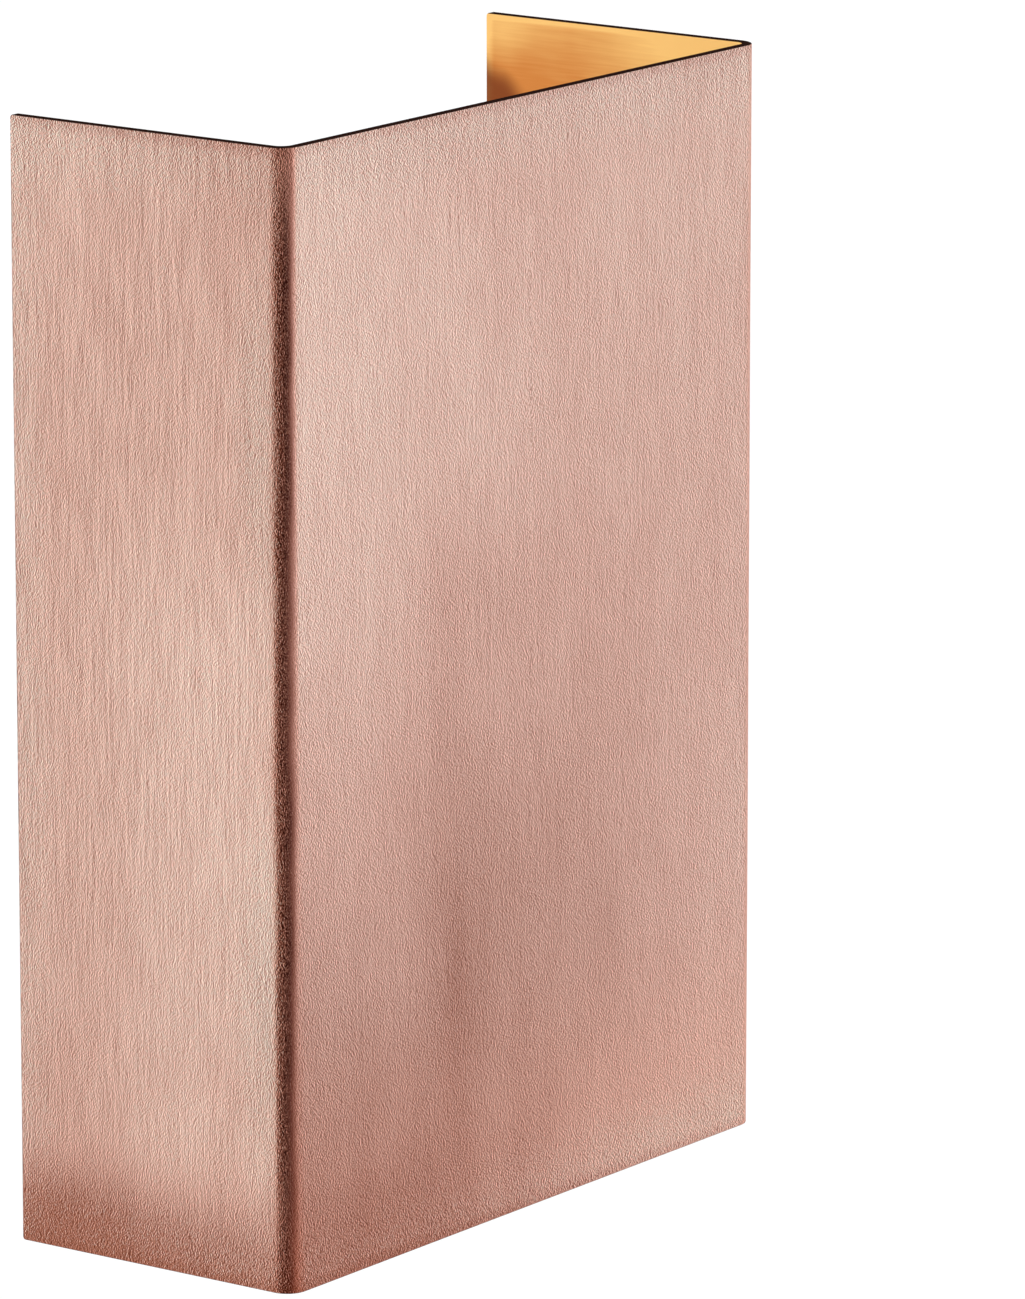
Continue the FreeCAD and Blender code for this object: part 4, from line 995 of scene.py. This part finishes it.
turned_steel("turned_clamps", "XYZ", (0, 0), (-42, 0), 0.2, 59, "upper_clamp_screw", "lower_clamp_screw",
             "upper_clamp_washer", "lower_clamp_washer", knurl=6.0, thread=2.0)
turned_steel("turned_bezel_screws", "XYZ", (0, 57.25), (-20.5, 9.5), 1.5, 59.7, "bezel_screws")
turned_steel("turned_board_screws", "XYZ", (0, 19.5), (-20.5, 0), 1.5, 38.8, "board_screws")
turned_steel("turned_housing_screws", "XZY", (0, 54), (0, 0), 2.0, 47.2, "housing_screws")
nut_steel = turned_steel("turned_nuts", "XZY", (0, 11), (0, 72.32), 0.2, 70, "bracket_nuts", "bracket_washers")
nuts.data.materials.append(nut_steel)

# %% [markdown]
# ## Zinc
# The wall plate is sheet steel dipped in zinc, which freezes into flat crystals, each with its own tone. Where zinc
# has been damp it grows a white bloom, which is no metal and dull, so the same clouds lower both. The small screws
# inside are plated with it too.

# %% Zinc
zinc, tree, shader, place, normal = start("zinc_plate", metallic=1.0)
crystal = use(tree, crystals, place, Size=3.5 * mm)
bloom = use(tree, clouds, place, Size=12 * mm, Detail=5.0)
scuffs = use(tree, streaks, laid(tree, place, "YZX"), Width=0.2 * mm, Length=25 * mm)
plating = blend(tree, crystal, rgb(142, 146, 150), rgb(196, 199, 202))
plating = blend(tree, times(tree, ramp(tree, bloom, 0.6, 0.95), 0.5), plating, rgb(206, 206, 202))
finish(tree, shader, colour=plating, height=scuffs, depth=0.008 * mm,
       roughness=total(tree, ramp(tree, crystal, 0, 1, 0.3, 0.5), times(tree, bloom, 0.15)),
       metallic=ramp(tree, bloom, 0.6, 1.0, 1.0, 0.75))
dress(zinc, "wall_plate", "block_screws", "driver_screws", "terminal_screws")

# %% [markdown]
# ## Brass
# The earth parts, the pillars and the clamps are turned from brass. It tarnishes in brown clouds, and the marks of
# the tool stay as fine lines along each part.

# %% Brass
brass, tree, shader, place, normal = start("turned_brass", metallic=1.0)
tool_marks = use(tree, streaks, place, Width=0.15 * mm, Length=3 * mm)
tarnish = use(tree, clouds, place, Size=4 * mm, Detail=4.0)
metal = blend(tree, tool_marks, rgb(204, 164, 88), rgb(232, 200, 122))
finish(tree, shader, colour=blend(tree, times(tree, tarnish, 0.5), metal, rgb(140, 96, 48)), height=tool_marks,
       depth=0.01 * mm, roughness=total(tree, 0.22, times(tree, tarnish, 0.2)))
dress(brass, "earth_screw", "earth_tag", "earth_washer", "plate_pillars", "terminal_clamps")

# %% [markdown]
# ## Foam
# The pad between the plate and the wall is cut from foam. It shows the open half of each cut cell, so its height
# comes from the distance to the centres of the cells.

# %% Foam
foam, tree, shader, place, normal = start("gasket_foam", roughness=0.92)
pores = add(tree, "ShaderNodeTexVoronoi", Vector=place, Scale=1 / (0.55 * mm)).outputs["Distance"]
wear = use(tree, clouds, place, Size=14 * mm)
foam_tone = blend(tree, ramp(tree, pores, 0.1, 0.7), rgb(26, 26, 27), rgb(66, 66, 68))
finish(tree, shader, colour=blend(tree, times(tree, wear, 0.4), foam_tone, rgb(84, 82, 78)), height=pores,
       depth=0.2 * mm)
dress(foam, "wall_gasket")

# %% [markdown]
# ## Rubber
# Grommet, buffers and small seals are black rubber. It is smooth, but goes grey in patches as wax rises to its
# surface, and dust clings to it.

# %% Rubber
rubber, tree, shader, place, normal = start("black_rubber")
waxy = use(tree, clouds, place, Size=5 * mm, Detail=5.0)
texture = use(tree, clouds, place, Size=0.35 * mm, Detail=1.0)
lying = use(tree, dust, place, Normal=normal, Size=3 * mm, Amount=0.4)
rubber_tone = blend(tree, times(tree, ramp(tree, waxy, 0.4, 1.0), 0.5), rgb(30, 30, 31), rgb(76, 76, 78))
finish(tree, shader, colour=blend(tree, lying, rubber_tone, rgb(146, 138, 126)), height=texture, depth=0.02 * mm,
       roughness=ramp(tree, waxy, 0, 1, 0.55, 0.8))
dress(rubber, "cable_grommet", "lead_seals", "screw_seals", "side_buffers")

# %% [markdown]
# ## Silicone
# The seals round the glasses are reddish silicone, a little glossy, with fine grit that sticks to them.

# %% Silicone
silicone, tree, shader, place, normal = start("red_silicone")
cloudy = use(tree, clouds, place, Size=6 * mm)
grit = use(tree, speckle, place, Size=0.4 * mm, Cover=0.25)
seal_tone = blend(tree, cloudy, rgb(186, 88, 66), rgb(202, 112, 90))
finish(tree, shader, colour=blend(tree, times(tree, grit, 0.4), seal_tone, rgb(222, 190, 176)), height=grit,
       roughness=ramp(tree, cloudy, 0, 1, 0.32, 0.5), depth=0.02 * mm)
dress(silicone, "upper_glass_seal", "lower_glass_seal")

# %% [markdown]
# ## Thermal pads
# Under each light board lies a soft pad that leads its heat to the housing. It is grey, with pale grains of filler.

# %% Thermal pads
pad, tree, shader, place, normal = start("thermal_pad", roughness=0.7)
filler = use(tree, speckle, place, Size=0.3 * mm, Cover=0.5)
pressed = use(tree, clouds, place, Size=8 * mm)
pad_tone = blend(tree, pressed, rgb(150, 156, 166), rgb(172, 176, 184))
finish(tree, shader, colour=blend(tree, times(tree, filler, 0.35), pad_tone, rgb(214, 216, 220)), height=filler,
       depth=0.02 * mm)
dress(pad, "upper_thermal_pad", "lower_thermal_pad")

# %% [markdown]
# ## Light board
# The board is aluminium under white solder mask. Its copper tracks stand out as faint ridges, and tinned pads show
# beside each chip. The chips repeat along the board at an even pitch, so wrapping x round at that pitch gives each
# chip its own centre, and one pattern serves them all.

# %% Light board
chip_pitch = 19.5 * mm
window_y = -20.5 * mm


def chip_place(tree, place):
    """How far a point lies from the nearest chip's axis, along X and along Y."""
    x, y, z = split(tree, place)
    local_x = calc(tree, "SUBTRACT", calc(tree, "WRAP", x, chip_pitch, 0.0), chip_pitch / 2)
    return size_of(tree, local_x), size_of(tree, calc(tree, "SUBTRACT", y, window_y))


board, tree, shader, place, normal = start("led_board")
from_x, from_y = chip_place(tree, place)
pads = times(tree, band(tree, from_x, 1.9 * mm, 2.9 * mm, 0.05 * mm),
             band(tree, from_y, -1 * mm, 1.5 * mm, 0.05 * mm))
tracks = calc(tree, "MAXIMUM", band(tree, from_y, 4.2 * mm, 5.6 * mm, 0.1 * mm),
              times(tree, band(tree, from_x, 4.4 * mm, 5.2 * mm, 0.1 * mm), band(tree, from_y, 0, 5 * mm, 0.1 * mm)))
yellowing = use(tree, clouds, place, Size=10 * mm)
mask_tone = blend(tree, yellowing, rgb(238, 238, 233), rgb(228, 226, 216))
mask_tone = blend(tree, times(tree, tracks, 0.5), mask_tone, rgb(206, 210, 204))
finish(tree, shader, colour=blend(tree, pads, mask_tone, rgb(198, 200, 204)), metallic=pads,
       roughness=ramp(tree, pads, 0, 1, ramp(tree, yellowing, 0, 1, 0.34, 0.44), 0.25),
       height=total(tree, times(tree, tracks, 0.6), pads), depth=0.06 * mm)
dress(board, "upper_led_board", "lower_led_board")

# %% [markdown]
# ## Light chips
# A chip is white ceramic with yellow phosphor under a clear dome. The dome is glossy, so the shader gets a coat, and
# the phosphor goes paler towards its edge, where its layer is thin.

# %% Light chips
ceramic_top = 37.95 * mm
dome_radius = 1.5 * mm

chip, tree, shader, place, normal = start("led_chip", Coat_Weight=0.6, Coat_Roughness=0.04)
from_x, from_y = chip_place(tree, place)
from_centre = aim(tree, "LENGTH", join(tree, from_x, from_y, 0.0))
raised = ramp(tree, size_of(tree, split(tree, place)[2]), ceramic_top, ceramic_top + 0.07 * mm)
domed = times(tree, ramp(tree, from_centre, dome_radius + 0.05 * mm, dome_radius - 0.05 * mm), raised)
powdery = use(tree, speckle, place, Size=0.12 * mm, Cover=0.6)
gel = blend(tree, powdery, rgb(236, 196, 52), rgb(246, 222, 112))
gel = blend(tree, ramp(tree, from_centre, 0.9 * mm, dome_radius - 0.05 * mm), gel, rgb(240, 232, 190))
finish(tree, shader, colour=blend(tree, domed, rgb(236, 235, 228), gel), height=powdery, depth=0.005 * mm,
       roughness=ramp(tree, domed, 0, 1, 0.5, 0.12))
dress(chip, "upper_leds", "lower_leds")

# %% [markdown]
# ## Reflectors
# A reflector is moulded with fine dimples that spread the light, then coated with bright metal. Dimples are the
# distance to the centres of soft cells, and a faint haze dulls the coat in clouds.

# %% Reflectors
dimple = 1.5 * mm

reflector, tree, shader, place, normal = start("metallised_cup", metallic=1.0)
dimples = add(tree, "ShaderNodeTexVoronoi", {"feature": "SMOOTH_F1"}, Vector=place, Scale=1 / dimple,
              Smoothness=0.4).outputs["Distance"]
haze = use(tree, clouds, place, Size=6 * mm, Detail=4.0)
finish(tree, shader, colour=blend(tree, haze, rgb(236, 237, 238), rgb(214, 216, 218)), height=dimples,
       roughness=ramp(tree, haze, 0, 1, 0.1, 0.22), depth=0.1 * mm)
dress(reflector, "upper_reflector", "lower_reflector")

# %% [markdown]
# ## Glass
# Toughened glass is clear, faintly green, and never quite clean: wiping leaves arcs, and rain leaves specks. Both
# change only how sharply it shines, so they go into the roughness.

# %% Glass
glass, tree, shader, place, normal = start("clear_glass", Transmission_Weight=1.0, IOR=1.5)
wiped = use(tree, streaks, laid(tree, place, "YZX"), Width=1.5 * mm, Length=30 * mm)
specks = use(tree, speckle, place, Size=1.2 * mm, Cover=0.2)
edge = ramp(tree, size_of(tree, split(tree, normal)[2]), 0.9, 0.5)
finish(tree, shader, colour=blend(tree, edge, rgb(246, 250, 248), rgb(186, 214, 202)),
       roughness=total(tree, ramp(tree, wiped, 0.3, 1.0, 0.015, 0.05), times(tree, specks, 0.12)),
       height=specks, depth=0.002 * mm)
dress(glass, "upper_glass", "lower_glass")

# %% [markdown]
# ## White plastic
# White moulded plastic copies the fine spark-eroded texture of its mould, and its tone drifts where the melt flowed.

# %% White plastic
white_plastic, tree, shader, place, normal = start("white_plastic")
texture = use(tree, clouds, place, Size=0.3 * mm, Detail=1.0)
flow = use(tree, clouds, place, Size=11 * mm)
lying = use(tree, dust, place, Normal=normal, Size=4 * mm, Amount=0.3)
moulded = blend(tree, flow, rgb(230, 230, 225), rgb(218, 217, 209))
finish(tree, shader, colour=blend(tree, lying, moulded, rgb(176, 166, 150)), height=texture, depth=0.015 * mm,
       roughness=ramp(tree, texture, 0, 1, 0.42, 0.56))
dress(white_plastic, "driver_case", "driver_lid", "terminal_block", "upper_board_connector", "lower_board_connector")

# %% [markdown]
# ## Circuit board
# Behind the driver's lid lies a green circuit board. Its tracks turn square corners, and so do the rings of a Voronoi
# pattern when distance is measured along the axes only. The centre of each ring becomes a spot of solder.

# %% Circuit board
track_spacing = 4 * mm

circuit, tree, shader, place, normal = start("circuit_board", roughness=0.35)
lanes = add(tree, "ShaderNodeTexVoronoi", {"feature": "F1", "distance": "CHEBYCHEV"}, Vector=place,
            Scale=1 / track_spacing).outputs["Distance"]
tracks = band(tree, lanes, 0.28, 0.42, 0.02)
soldered = ramp(tree, lanes, 0.1, 0.06)
green = blend(tree, tracks, rgb(18, 74, 40), rgb(44, 120, 66))
finish(tree, shader, colour=blend(tree, soldered, green, rgb(196, 198, 200)), metallic=soldered,
       height=total(tree, tracks, soldered), depth=0.04 * mm)
dress(circuit, "driver_board")

# %% [markdown]
# ## Transformer
# The transformer is wrapped in yellow tape between two dark ferrite ends. Each turn of the tape leaves a darker line,
# and the fraction of y over the tape's width gives those lines at even steps.

# %% Transformer
tape_width = 1.4 * mm
core_begins = 6.4 * mm

winding, tree, shader, place, normal = start("taped_transformer")
x, y, z = split(tree, place)
layers = calc(tree, "FRACT", times(tree, y, 1 / tape_width))
wraps = ramp(tree, layers, 0.9, 1.0)
creases = use(tree, clouds, place, Size=2 * mm)
core = ramp(tree, size_of(tree, x), core_begins, core_begins + 0.1 * mm)
tape = blend(tree, wraps, blend(tree, creases, rgb(226, 186, 44), rgb(206, 158, 30)), rgb(150, 108, 20))
ferrite = blend(tree, creases, rgb(52, 52, 54), rgb(72, 72, 74))
finish(tree, shader, colour=blend(tree, core, tape, ferrite), roughness=ramp(tree, core, 0, 1, 0.25, 0.75),
       height=total(tree, wraps, times(tree, creases, 0.3)), depth=0.05 * mm)
dress(winding, "driver_transformer")

# %% [markdown]
# ## Capacitors
# A capacitor is an aluminium can in a dark printed sleeve, with a pale stripe down one side and a bare top. On a
# round can the surface direction finds both: the top faces along the can, and the stripe to one side of it.

# %% Capacitors
can, tree, shader, place, normal = start("sleeved_can")
nx, ny, nz = split(tree, normal)
top_face = ramp(tree, ny, 0.8, 0.95)
stripe = ramp(tree, nz, 0.85, 0.9)
sleeve_folds = use(tree, streaks, laid(tree, place, "XZY"), Width=0.6 * mm, Length=4 * mm)
sleeve = blend(tree, stripe, blend(tree, sleeve_folds, rgb(26, 30, 46), rgb(40, 46, 66)), rgb(168, 172, 180))
finish(tree, shader, colour=blend(tree, top_face, sleeve, rgb(190, 192, 194)), metallic=top_face,
       roughness=ramp(tree, sleeve_folds, 0, 1, 0.28, 0.4), height=sleeve_folds, depth=0.02 * mm)
dress(can, "driver_capacitors")

# %% [markdown]
# ## Leads
# Each lead's insulation has its own colour. The earth lead is green with a yellow stripe along it: on a round lead
# the surface direction tells one side from the other, so the stripe follows every bend by itself.


# %% Leads
def insulation(name, dark, light, *dressed, second=None):
    """Soft glossy insulation with faint extrusion clouds, and a lengthwise stripe if it has a second colour."""
    material, tree, shader, place, normal = start(name)
    tone = use(tree, clouds, place, Size=5 * mm)
    scuffed = use(tree, speckle, place, Size=0.5 * mm, Cover=0.25)
    colour = blend(tree, tone, rgb(*dark), rgb(*light))
    if second:
        side = aim(tree, "DOT_PRODUCT", normal, (0.5, 0.62, 0.6))
        colour = blend(tree, ramp(tree, side, 0.1, 0.16), colour, rgb(*second))
    finish(tree, shader, colour=colour, height=tone, depth=0.03 * mm,
           roughness=total(tree, ramp(tree, tone, 0, 1, 0.3, 0.4), times(tree, scuffed, 0.2)))
    dress(material, *dressed)


insulation("earth_insulation", (38, 118, 48), (50, 136, 58), "earth_lead", second=(222, 204, 52))
insulation("live_insulation", (84, 48, 28), (102, 62, 38), "live_lead")
insulation("neutral_insulation", (34, 76, 160), (48, 92, 176), "neutral_lead")
insulation("led_sheath", (222, 221, 214), (234, 233, 228), "upper_led_lead", "lower_led_lead")

# %% [markdown]
# ## The end
# One check closes the lesson: it prints the solids that are still without a finish.

# %% The end
print("solids left without a finish:", sorted(bare))
